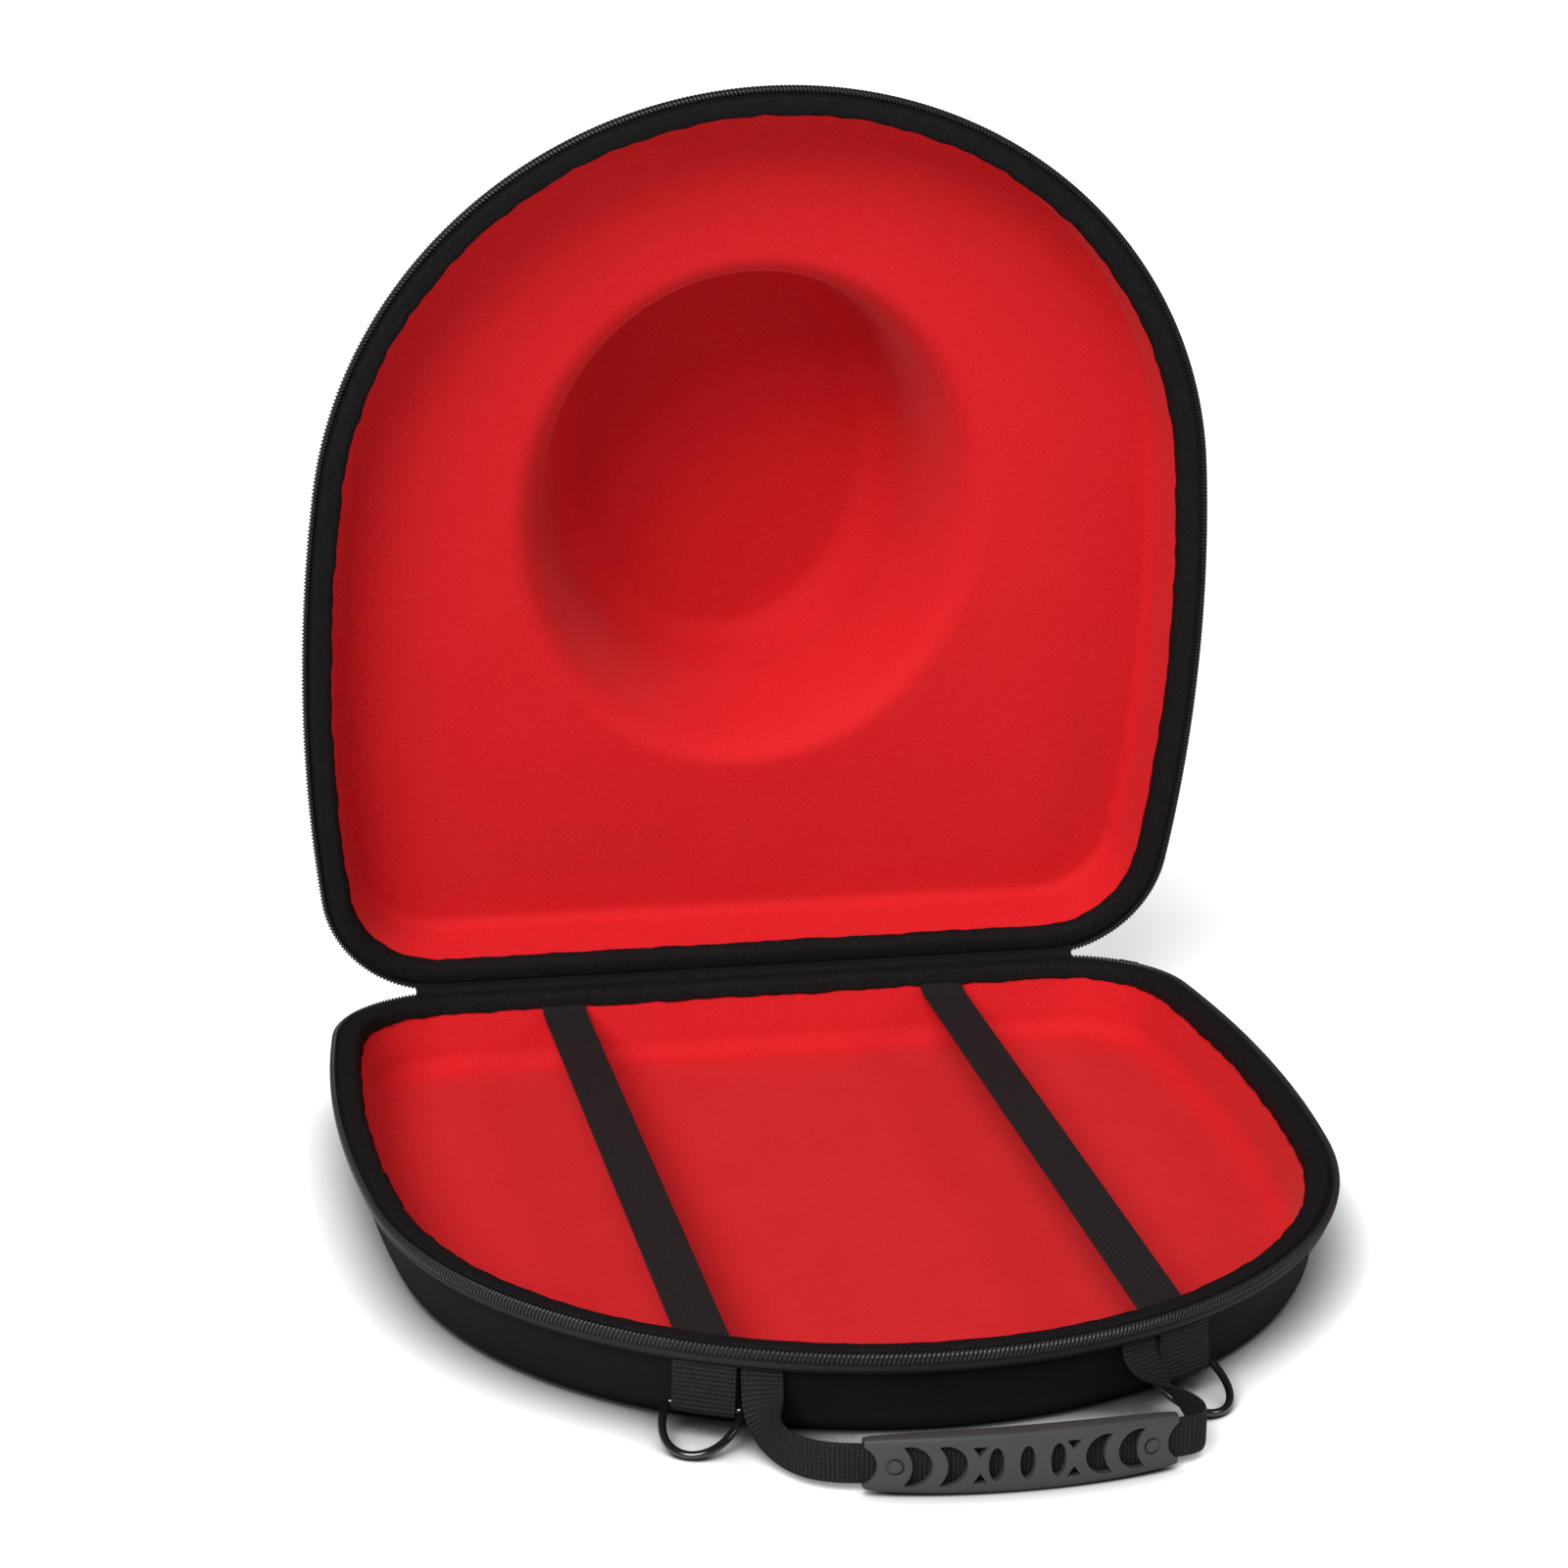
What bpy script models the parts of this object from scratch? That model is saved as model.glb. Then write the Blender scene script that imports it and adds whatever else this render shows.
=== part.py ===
"""Hat travel case, standing open: a zip-round moulded case with a red lining, a crown dome in the
lid, two hold-down elastics, two D-rings and a carry handle lying in front.

Metres, +Z up. Front is -Y, the hinge is at the back (+Y), +X is right seen from the front.
The origin is the middle of the flat underside of the base. The lid is built closed and then
turned open about the hinge line.
"""
import math

import bmesh
import bpy
from mathutils import Matrix, Vector

# Outline of the case seen from above
CASE_W = 0.410
CASE_L = 0.425
# the front arc is a little tighter than a half circle as wide as the case
FRONT_TIGHT = 0.004
FRONT_R = CASE_W / 2 - FRONT_TIGHT
SIDE_R = 0.782
CORNER_R = 0.055

# Steps along half of the outline
FRONT_STEPS = 12
SIDE_STEPS = 4
CORNER_STEPS = 6
BACK_STEPS = 3
ROUND_STEPS = 3

# Heights
HINGE_Z = 0.039
HINGE_OUT = 0.0005
RIM_GAP = 0.003
LIP_H = 0.0075
LID_OPEN = math.radians(80.0)

# Moulded shells
SHELL_T = 0.003
LIP_IN = 0.0011
WALL_IN = 0.0045
BASE_FOOT_IN = 0.009
BASE_ROUND = 0.010
BASE_CUP_ROUND = 0.013
BASE_CUP_EASE = 0.0007
BASE_CUP_SLOPE = 0.005
LID_DEPTH = 0.032
LID_FOOT_IN = 0.0143
LID_CUP_ROUND = 0.0067

# Lining
LINING_T = 0.002
LINING_IN = 0.0098
FIT_GAP = 0.0003

# Crown dome in the lid, measured on the lining
CROWN_DEPTH = 0.088
CROWN_HALF_W = 0.1065
CROWN_HALF_L = 0.1205
CROWN_Y = -0.003
CROWN_TOP_HALF_W = 0.0790
CROWN_TOP_HALF_L = 0.0990
# share of the way from mouth to top oval, share of the crown depth
CROWN_PROFILE = (
    (-0.22, 0.000),
    (0.02, 0.020),
    (0.22, 0.080),
    (0.38, 0.190),
    (0.68, 0.560),
    (0.88, 0.830),
    (1.12, 0.950),
    (1.50, 1.000),
)

# Binding over the inner rim
BINDING_IN = 0.0027
BINDING_T = 0.0009
BINDING_LEG_T = 0.0012
BINDING_DROP = 0.006

# Zip halves and hinge tape
TAPE_T = 0.0008
TAPE_LIP_GAP = 0.0002
COIL_W = 0.0024
COIL_H = 0.00105
HINGE_END_GAP = 0.003

# Webbing loops for the rings
TAB_X = 0.0935
TAB_W = 0.025
TAB_T = 0.0013
TAB_STEPS = 8
TAB_IN = 0.0029
TAB_SEAM = 0.0045

# D-rings
RING_WIRE_R = 0.0016
RING_BAR_Z = 0.0118
RING_REACH = 0.024
RING_SIDE_GAP = 0.00085
RING_STEPS = 14
RING_SIDES = 8

# Handle strap and grip
STRAP_W = 0.016
STRAP_T = 0.0016
STRAP_TAB_GAP = 0.0020
STRAP_STEPS = 12
STRAP_LOW_Z = 0.0065
STRAP_GRIP_GAP = 0.003
# how far each end of the strap swings past its ring tab, and out from the front of the case
LEFT_BEND_X = 0.0135
LEFT_BEND_OUT = 0.0255
RIGHT_BEND_X = 0.0095
RIGHT_BEND_OUT = 0.0275
GRIP_X = 0.0145
GRIP_OUT = 0.038
GRIP_BOW = 0.006
GRIP_L = 0.118
GRIP_MID_H = 0.0236
GRIP_END_H = 0.0192
GRIP_MID_T = 0.0088
GRIP_END_T = 0.0052
GRIP_FLOOR_GAP = 0.0003
GRIP_STEPS = 12

# Grip windows as shares: along x of the grip length, along z of its middle height
LENS_PITCH = 0.0983
LENS_W = 0.0492
LENS_H = 0.5593
MOON_X = (0.2542, 0.3627)
MOON_R = (0.0678, 0.3390)
MOON_BITE = 1.300
MOON_SHIFT = 1.2125
NOTCH_X = 0.1492
NOTCH_W = 0.0475
NOTCH_EDGE = 0.3051
NOTCH_TIP = 0.1356

# Hold-down elastics
ELASTIC_X = 0.0893
ELASTIC_W = 0.020
ELASTIC_T = 0.0011
ELASTIC_DROP = 0.0078

# Zip slider parked at the right end of the base zip
SLIDER_L = 0.012
SLIDER_W = 0.0055
SLIDER_H = 0.0100
PULL_L = 0.020
PULL_W = 0.0065
PULL_T = 0.0016
SLIDER_GAP = 0.0004
SLIDER_RISE = 0.0005

RIM_LOW = HINGE_Z - RIM_GAP / 2
RIM_HIGH = HINGE_Z + RIM_GAP / 2
LIP_LOW = RIM_LOW - LIP_H
LIP_HIGH = RIM_HIGH + LIP_H
HINGE_Y = CASE_L / 2 + HINGE_OUT

# Angles where the outline arcs meet, from the width and length
FRONT_TURN = math.asin((CASE_W / 2 - SIDE_R) / (FRONT_R - SIDE_R))
SIDE_END = math.acos(
    (CASE_L - FRONT_R - CORNER_R - (SIDE_R - FRONT_R) * math.cos(FRONT_TURN))
    / (CORNER_R - SIDE_R)
)
BACK_HALF = (
    FRONT_R * math.sin(FRONT_TURN)
    + SIDE_R * (math.sin(SIDE_END) - math.sin(FRONT_TURN))
    - CORNER_R * math.sin(SIDE_END)
)


def half_outline(inset):
    """Points from the middle of the front round the right side to the middle of the back."""
    points = [(0.0, -CASE_L / 2 + inset)]
    x, y = points[0]
    arcs = (
        (FRONT_R, 0.0, FRONT_TURN, FRONT_STEPS),
        (SIDE_R, FRONT_TURN, SIDE_END, SIDE_STEPS),
        (CORNER_R, SIDE_END, math.pi, CORNER_STEPS),
    )
    for radius, start, end, steps in arcs:
        r = radius - inset
        for i in range(1, steps + 1):
            a = start + (end - start) * i / steps
            points.append((
                x + r * (math.sin(a) - math.sin(start)),
                y + r * (math.cos(start) - math.cos(a)),
            ))
        x, y = points[-1]
    for i in range(1, BACK_STEPS + 1):
        points.append((x * (1 - i / BACK_STEPS), y))
    return points


def outline(inset):
    half = half_outline(inset)
    return half + [(-x, y) for x, y in reversed(half[1:-1])]


def outline_at(x, inset):
    """Point on the front arc at a given x, with the unit tangent and the outward direction."""
    turn = math.asin(x / FRONT_R)
    r = FRONT_R - inset
    point = Vector((r * math.sin(turn), -CASE_L / 2 + FRONT_R - r * math.cos(turn), 0))
    return point, Vector((math.cos(turn), math.sin(turn), 0)), Vector((math.sin(turn), -math.cos(turn), 0))


def oval(half_w, half_l):
    """Oval ring whose points lie in the same directions as the outline points."""
    ring = []
    for x, y in outline(0.0):
        dx, dy = x, y - CROWN_Y
        r = 1 / math.hypot(dx / half_w, dy / half_l)
        ring.append((dx * r, CROWN_Y + dy * r))
    return ring


def make_object(name, verts, faces, colour, roughness, metallic=0.0):
    mesh = bpy.data.meshes.new(name)
    mesh.from_pydata([tuple(v) for v in verts], [], faces)
    bm = bmesh.new()
    bm.from_mesh(mesh)
    bmesh.ops.remove_doubles(bm, verts=bm.verts, dist=0.000005)
    bmesh.ops.recalc_face_normals(bm, faces=bm.faces)
    bm.to_mesh(mesh)
    bm.free()
    material = bpy.data.materials.new(name + "_mat")
    material.use_nodes = True
    shader = material.node_tree.nodes["Principled BSDF"]
    shader.inputs["Base Color"].default_value = (*colour, 1.0)
    shader.inputs["Roughness"].default_value = roughness
    shader.inputs["Metallic"].default_value = metallic
    mesh.materials.append(material)
    obj = bpy.data.objects.new(name, mesh)
    bpy.context.scene.collection.objects.link(obj)
    return obj


def loft(rings, ring_closed, loop_closed):
    """Faces between rings of equal length; open rows of rings get end caps.

    Each face is split along its shorter diagonal, so nested shells fold the same way.
    """
    n = len(rings[0])
    verts = [v for ring in rings for v in ring]
    faces = []
    rows = len(rings) if loop_closed else len(rings) - 1
    cols = n if ring_closed else n - 1
    for i in range(rows):
        j = (i + 1) % len(rings)
        for k in range(cols):
            m = (k + 1) % n
            a, b, c, d = i * n + k, i * n + m, j * n + m, j * n + k
            if (verts[a] - verts[c]).length <= (verts[b] - verts[d]).length:
                faces += [(a, b, c), (a, c, d)]
            else:
                faces += [(a, b, d), (b, c, d)]
    if not loop_closed:
        faces.append(tuple(range(n)))
        faces.append(tuple((len(rings) - 1) * n + k for k in range(n)))
    return verts, faces


def ring3(points, z):
    return [Vector((x, y, z)) for x, y in points]


def lift_inset(inset_z):
    return [ring3(outline(inset), z) for inset, z in inset_z]


def quarter(inset, z, radius, steps):
    """Rounding from a wall (at inset, z) down to a floor: inset and z pairs."""
    return [
        (
            inset + radius * (1 - math.cos(a)),
            z - radius * math.sin(a),
        )
        for a in (math.pi / 2 * i / steps for i in range(steps + 1))
    ]


def turn_open(objects):
    """Turn lid objects from closed to open about the hinge line."""
    pivot = Vector((0, HINGE_Y, HINGE_Z))
    turn = (
        Matrix.Translation(pivot)
        @ Matrix.Rotation(-LID_OPEN, 4, "X")
        @ Matrix.Translation(-pivot)
    )
    for obj in objects:
        obj.data.transform(turn)


# Base shell and lining
def base_cup(extra):
    """Inside of the base at a distance outside the lining face: inset and z, rim to floor."""
    radius = BASE_CUP_ROUND - SHELL_T + BASE_CUP_EASE + extra
    centre_z = SHELL_T + BASE_CUP_ROUND
    foot = BASE_CUP_IN - extra
    return [(LINING_IN - extra, RIM_LOW)] + quarter(foot, centre_z, radius, ROUND_STEPS)


def lining_inset(depth, cup_in, cup_depth):
    return LINING_IN + (cup_in - LINING_IN) * depth / cup_depth


BASE_CUP_IN = LINING_IN + BASE_CUP_SLOPE
BASE_CUP_DEPTH = RIM_LOW - SHELL_T - BASE_CUP_ROUND


def base_shell():
    outside = [
        (LIP_IN, RIM_LOW),
        (LIP_IN, LIP_LOW),
        (WALL_IN, LIP_LOW),
    ] + quarter(BASE_FOOT_IN, BASE_ROUND, BASE_ROUND, ROUND_STEPS)
    inside = base_cup(LINING_T + FIT_GAP)
    return lift_inset(list(reversed(outside)) + inside)


def base_lining():
    return lift_inset(list(reversed(base_cup(LINING_T))) + base_cup(0.0))


# Lid surfaces: each point is (outline inset or None, crown half width, crown half length, depth)
def lid_profile():
    points = [(LINING_IN, None, None, 0.0)]
    for inset, z in quarter(LID_FOOT_IN, LID_CUP_ROUND, LID_CUP_ROUND, ROUND_STEPS):
        points.append((inset, None, None, LID_DEPTH - z))
    for share, deep in CROWN_PROFILE:
        points.append((
            None,
            CROWN_HALF_W + share * (CROWN_TOP_HALF_W - CROWN_HALF_W),
            CROWN_HALF_L + share * (CROWN_TOP_HALF_L - CROWN_HALF_L),
            LID_DEPTH + deep * CROWN_DEPTH,
        ))
    return points


def lid_rings(extra, base_z):
    """Rings of the lid surface at a distance outside the lining face."""
    points = lid_profile()
    flat = []
    for inset, half_w, half_l, depth in points:
        radius = (CASE_W / 2 - inset) if inset is not None else (half_w + half_l) / 2
        flat.append(Vector((radius, depth)))
    rings = []
    for i, (inset, half_w, half_l, depth) in enumerate(points):
        if i == 0:
            out, deep = 1.0, 0.0
        else:
            before = (flat[i] - flat[i - 1]).normalized()
            after = (flat[min(i + 1, len(flat) - 1)] - flat[i])
            after = after.normalized() if after.length > 0 else Vector((-1.0, 0.0))
            along = (before + after).normalized()
            stretch = 1 / max(0.5, along.dot(before))
            out, deep = along.y * stretch, -along.x * stretch
        if inset is not None:
            ring = outline(inset - out * extra)
        else:
            ring = oval(half_w + out * extra, half_l + out * extra)
        rings.append(ring3(ring, base_z + depth + deep * extra))
    return rings


def lid_shell():
    outside = lid_rings(LINING_T + FIT_GAP + SHELL_T, RIM_HIGH)
    lip = lift_inset([(LIP_IN, RIM_HIGH), (LIP_IN, LIP_HIGH), (WALL_IN, LIP_HIGH)])
    inside = lid_rings(LINING_T + FIT_GAP, RIM_HIGH)
    return list(reversed(outside[1:])) + list(reversed(lip)) + inside


def lid_lining():
    return list(reversed(lid_rings(LINING_T, RIM_HIGH))) + lid_rings(0.0, RIM_HIGH)


def binding(rim, away, cup_in, cup_depth):
    """Closed band over the inner rim: a flat top and a leg down the lining face."""
    top_leg = lining_inset(0.0, cup_in, cup_depth) + FIT_GAP
    low_leg = lining_inset(BINDING_DROP, cup_in, cup_depth) + FIT_GAP
    low = rim + away * FIT_GAP
    high = low + away * BINDING_T
    drop = rim - away * BINDING_DROP
    return lift_inset([
        (BINDING_IN, low),
        (BINDING_IN, high),
        (top_leg + BINDING_LEG_T, high),
        (low_leg + BINDING_LEG_T, drop),
        (low_leg, drop),
        (top_leg, low),
    ])


def tape_section(rim, away):
    """Inset and z of a zip half: tape outside the lip and the coil on its edge."""
    coil_low = rim + away * FIT_GAP
    coil_high = coil_low + away * COIL_H
    lip = rim - away * (LIP_H - TAPE_LIP_GAP)
    return [(0.0, lip), (0.0, coil_high), (COIL_W, coil_high), (COIL_W, coil_low),
            (TAPE_T, coil_low), (TAPE_T, lip)]


def zip_half(rim, away):
    count = FRONT_STEPS + SIDE_STEPS + CORNER_STEPS
    columns = []
    for inset, z in tape_section(rim, away):
        half = half_outline(inset)[:count + 1]
        row = [(-x, y) for x, y in reversed(half[1:])] + half
        columns.append(ring3(row, z))
    rings = [[column[i] for column in columns] for i in range(len(columns[0]))]
    return loft(rings, True, False)


def hinge_leaf(rim, away):
    half = BACK_HALF - HINGE_END_GAP
    section = [(CASE_L / 2 - inset, z) for inset, z in tape_section(rim, away)]
    rings = [[Vector((x, y, z)) for y, z in section] for x in (-half, half)]
    return loft(rings, True, False)


# Webbing loop and ring at one side
def place(x):
    point, along, out = outline_at(x, 0.0)
    return lambda u, v, z: point + along * u + out * v + Vector((0, 0, z))


def tab_loop(x):
    put = place(x)
    inner_r = RING_WIRE_R + FIT_GAP
    outer_r = inner_r + TAB_T
    top = LIP_LOW - FIT_GAP
    outer = [(-TAB_IN + TAB_T, top)]
    inner = [(-TAB_IN + FIT_GAP / 2, top - TAB_SEAM)]
    for i in range(TAB_STEPS + 1):
        a = -math.pi * i / TAB_STEPS
        outer.append((-TAB_IN + outer_r * math.cos(a), RING_BAR_Z + outer_r * math.sin(a)))
        inner.append((-TAB_IN + inner_r * math.cos(a), RING_BAR_Z + inner_r * math.sin(a)))
    outer.append((-TAB_IN - TAB_T, top))
    inner.append((-TAB_IN - FIT_GAP / 2, top - TAB_SEAM))
    rings = []
    for u, path in ((-TAB_W / 2, outer), (TAB_W / 2, outer), (TAB_W / 2, inner), (-TAB_W / 2, inner)):
        rings.append([put(u, v, z) for v, z in path])
    return loft(rings, True, True)


def d_ring(x):
    """Round wire bent to a D: a straight bar in the loop and a bow lying forward to the floor."""
    put = place(x)
    half = TAB_W / 2 + RING_SIDE_GAP + RING_WIRE_R
    drop = RING_BAR_Z - RING_WIRE_R - FIT_GAP
    slope = math.asin(drop / RING_REACH)
    path = []
    for i in range(RING_STEPS + 1):
        a = math.pi * i / RING_STEPS
        path.append((-half * math.cos(a), RING_REACH * math.sin(a) ** 0.85))
    path += [(half * 0.5, 0.0), (-half * 0.5, 0.0)]
    rings = []
    count = len(path)
    for i, (u, reach) in enumerate(path):
        before = Vector(path[i]) - Vector(path[i - 1])
        after = Vector(path[(i + 1) % count]) - Vector(path[i])
        along = (before.normalized() + after.normalized()).normalized()
        side = Vector((-along.y, along.x))
        stretch = 1 / max(0.6, along.dot(before.normalized()))
        ring = []
        for k in range(RING_SIDES):
            b = 2 * math.pi * (k + 0.5) / RING_SIDES
            across = RING_WIRE_R * math.cos(b) * stretch
            uu = u + side.x * across
            rr = reach + side.y * across
            lift = RING_WIRE_R * math.sin(b)
            ring.append(put(
                uu,
                -TAB_IN + rr * math.cos(slope) + lift * math.sin(slope),
                RING_BAR_Z - rr * math.sin(slope) + lift * math.cos(slope),
            ))
        rings.append(ring)
    return loft(rings, True, True)


# Handle strap: down from under the lip, round to the grip and through it
GRIP_Y = -CASE_L / 2 - GRIP_OUT
GRIP_Z = GRIP_FLOOR_GAP + GRIP_MID_H / 2


def grip_line(x):
    share = (x - GRIP_X) / (GRIP_L / 2)
    return Vector((x, GRIP_Y + GRIP_BOW * share * share, GRIP_Z))


def strap_end(side, bend_x, bend_out):
    """Rings from under the lip to the grip end, side -1 for left and 1 for right."""
    root_x = side * (TAB_X - (TAB_W / 2 + STRAP_TAB_GAP + STRAP_W / 2) * math.cos(TAB_X / FRONT_R))
    root, along, out = outline_at(root_x, TAB_IN)
    root = root + Vector((0, 0, LIP_LOW - FIT_GAP))
    end = grip_line(GRIP_X + side * (GRIP_L / 2 + STRAP_GRIP_GAP))
    bend_1 = Vector((root.x, root.y, STRAP_LOW_Z))
    bend_2 = Vector((side * TAB_X + bend_x, -CASE_L / 2 - bend_out, GRIP_Z))
    frames = []
    for i in range(STRAP_STEPS + 1):
        t = i / STRAP_STEPS
        s = 1 - t
        centre = root * s**3 + bend_1 * 3 * s * s * t + bend_2 * 3 * s * t * t + end * t**3
        head = (bend_1 - root) * 3 * s * s + (bend_2 - bend_1) * 6 * s * t + (end - bend_2) * 3 * t * t
        head.normalize()
        blend = min(1.0, t / 0.75)
        blend = blend * blend * (3 - 2 * blend)
        wide = (-side * along) * (1 - blend) + Vector((0, 0, 1)) * blend
        wide = (wide - head * wide.dot(head)).normalized()
        face = head.cross(wide) * -side
        frames.append((centre, wide, face))
    return frames


def handle_strap():
    left = strap_end(-1, LEFT_BEND_X, LEFT_BEND_OUT)
    right = strap_end(1, RIGHT_BEND_X, RIGHT_BEND_OUT)
    middle = []
    for i in range(1, GRIP_STEPS):
        x = GRIP_X + GRIP_L * (i / GRIP_STEPS - 0.5)
        middle.append((grip_line(x), Vector((0, 0, 1)), Vector((0, -1, 0))))
    frames = left + middle + list(reversed(right))
    rings = []
    for centre, wide, face in frames:
        w = wide * STRAP_W / 2
        f = face * STRAP_T / 2
        rings.append([centre - w - f, centre + w - f, centre + w + f, centre - w + f])
    return loft(rings, True, False)


def handle_grip():
    """Boat-shaped rubber sleeve with a slot through it for the strap."""
    slot_h = STRAP_W / 2 + FIT_GAP
    slot_t = STRAP_T / 2 + FIT_GAP
    outer_rows, inner_rows = [], []
    for i in range(GRIP_STEPS + 1):
        x = GRIP_X + GRIP_L * (i / GRIP_STEPS - 0.5)
        share = 2 * i / GRIP_STEPS - 1
        bulge = max(0.0, 1 - share * share) ** 0.6
        half_h = (GRIP_END_H + (GRIP_MID_H - GRIP_END_H) * bulge) / 2
        half_t = (GRIP_END_T + (GRIP_MID_T - GRIP_END_T) * bulge) / 2
        centre = grip_line(x)
        cut = min(half_t, half_h) * 0.35
        corners = [
            (-half_t, -half_h + cut), (-half_t, half_h - cut), (-half_t + cut, half_h),
            (half_t - cut, half_h), (half_t, half_h - cut), (half_t, -half_h + cut),
            (half_t - cut, -half_h), (-half_t + cut, -half_h),
        ]
        slot = [
            (-slot_t, -slot_h), (-slot_t, slot_h), (-slot_t / 3, slot_h), (slot_t / 3, slot_h),
            (slot_t, slot_h), (slot_t, -slot_h), (slot_t / 3, -slot_h), (-slot_t / 3, -slot_h),
        ]
        outer_rows.append([centre + Vector((0, y, z)) for y, z in corners])
        inner_rows.append([centre + Vector((0, y, z)) for y, z in slot])
    return loft(outer_rows + list(reversed(inner_rows)), True, True)


def prism(name, shape):
    """Cutter through the grip: points are shares of the grip length and middle height."""
    points = [(GRIP_X + x * GRIP_L, GRIP_Z + z * GRIP_MID_H) for x, z in shape]
    near = [Vector((x, GRIP_Y - GRIP_MID_H, z)) for x, z in points]
    far = [Vector((x, GRIP_Y + GRIP_MID_H, z)) for x, z in points]
    verts, faces = loft([near, far], True, False)
    cutter = make_object(name, verts, faces, (0.5, 0.5, 0.5), 0.5)
    cutter.display_type = "WIRE"
    cutter.hide_render = True
    return cutter


def window_shapes():
    shapes = []
    for i in (-1, 0, 1):
        shapes.append([
            (i * LENS_PITCH + LENS_W / 2 * math.cos(a), LENS_H / 2 * math.sin(a))
            for a in (2 * math.pi * k / 12 for k in range(12))
        ])
    # crescent: a unit circle bitten by a larger one shifted along it
    tip = math.acos((1 + MOON_SHIFT**2 - MOON_BITE**2) / (2 * MOON_SHIFT))
    bite = math.acos((MOON_BITE**2 + MOON_SHIFT**2 - 1) / (2 * MOON_BITE * MOON_SHIFT))
    moon = [(math.cos(a), math.sin(a)) for a in (tip + 2 * (math.pi - tip) * k / 9 for k in range(10))]
    for k in range(1, 7):
        a = math.pi + bite - 2 * bite * k / 7
        moon.append((MOON_SHIFT + MOON_BITE * math.cos(a), MOON_BITE * math.sin(a)))
    for side in (-1, 1):
        for x in MOON_X:
            shapes.append([(side * (x + px * MOON_R[0]), pz * MOON_R[1]) for px, pz in moon])
        for up in (-1, 1):
            shapes.append([
                (side * NOTCH_X - NOTCH_W / 2, up * NOTCH_EDGE),
                (side * NOTCH_X + NOTCH_W / 2, up * NOTCH_EDGE),
                (side * NOTCH_X, up * NOTCH_TIP),
            ])
    return shapes


def cut_windows(grip):
    cutters = [prism("cutter_%d" % i, shape) for i, shape in enumerate(window_shapes())]
    for cutter in cutters:
        modifier = grip.modifiers.new(cutter.name, "BOOLEAN")
        modifier.operation = "DIFFERENCE"
        modifier.solver = "EXACT"
        modifier.object = cutter
    bpy.context.view_layer.update()
    graph = bpy.context.evaluated_depsgraph_get()
    mesh = bpy.data.meshes.new_from_object(grip.evaluated_get(graph))
    grip.modifiers.clear()
    grip.data = mesh
    for cutter in cutters:
        bpy.data.objects.remove(cutter)


def elastic(x):
    """Flat elastic from the rear rim to the front rim, just under the binding."""
    z = RIM_LOW - ELASTIC_DROP
    inset = lining_inset(ELASTIC_DROP, BASE_CUP_IN, BASE_CUP_DEPTH) + 2 * FIT_GAP
    back = CASE_L / 2 - inset
    left, right = x - ELASTIC_W / 2, x + ELASTIC_W / 2
    front = [
        FRONT_R - CASE_L / 2 - math.sqrt((FRONT_R - inset)**2 - px * px) for px in (left, right)
    ]
    flat = [(left, front[0]), (right, front[1]), (right, back), (left, back)]
    low = [Vector((px, py, z)) for px, py in flat]
    high = [v + Vector((0, 0, ELASTIC_T)) for v in low]
    return loft([low, high], True, False)


def zip_slider():
    """Slider body beside the tape, with its pull hanging under it."""
    half = half_outline(-FIT_GAP)
    index = FRONT_STEPS + SIDE_STEPS + CORNER_STEPS - 3
    here, after = Vector((*half[index], 0)), Vector((*half[index + 1], 0))
    along = (after - here).normalized()
    out = Vector((along.y, -along.x, 0))
    here = here + out * SLIDER_GAP
    top = RIM_LOW + SLIDER_RISE

    def put(u, v, z):
        return here + along * u + out * v + Vector((0, 0, z))

    body = [
        (-SLIDER_L / 2, top), (SLIDER_L / 2, top), (SLIDER_L / 2, top - SLIDER_H),
        (PULL_W / 2, top - SLIDER_H), (PULL_W / 2, top - SLIDER_H - PULL_L),
        (-PULL_W / 2, top - SLIDER_H - PULL_L), (-PULL_W / 2, top - SLIDER_H),
        (-SLIDER_L / 2, top - SLIDER_H),
    ]
    thick = [SLIDER_W, SLIDER_W, SLIDER_W, PULL_T, PULL_T, PULL_T, PULL_T, SLIDER_W]
    near = [put(u, 0.0, z) for u, z in body]
    far = [put(u, t, z) for (u, z), t in zip(body, thick)]
    return loft([near, far], True, False)


BLACK = (0.012, 0.012, 0.013)
WEB = (0.016, 0.016, 0.017)
RED = (0.52, 0.010, 0.016)
METAL = (0.10, 0.10, 0.11)
RUBBER = (0.045, 0.045, 0.048)


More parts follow.
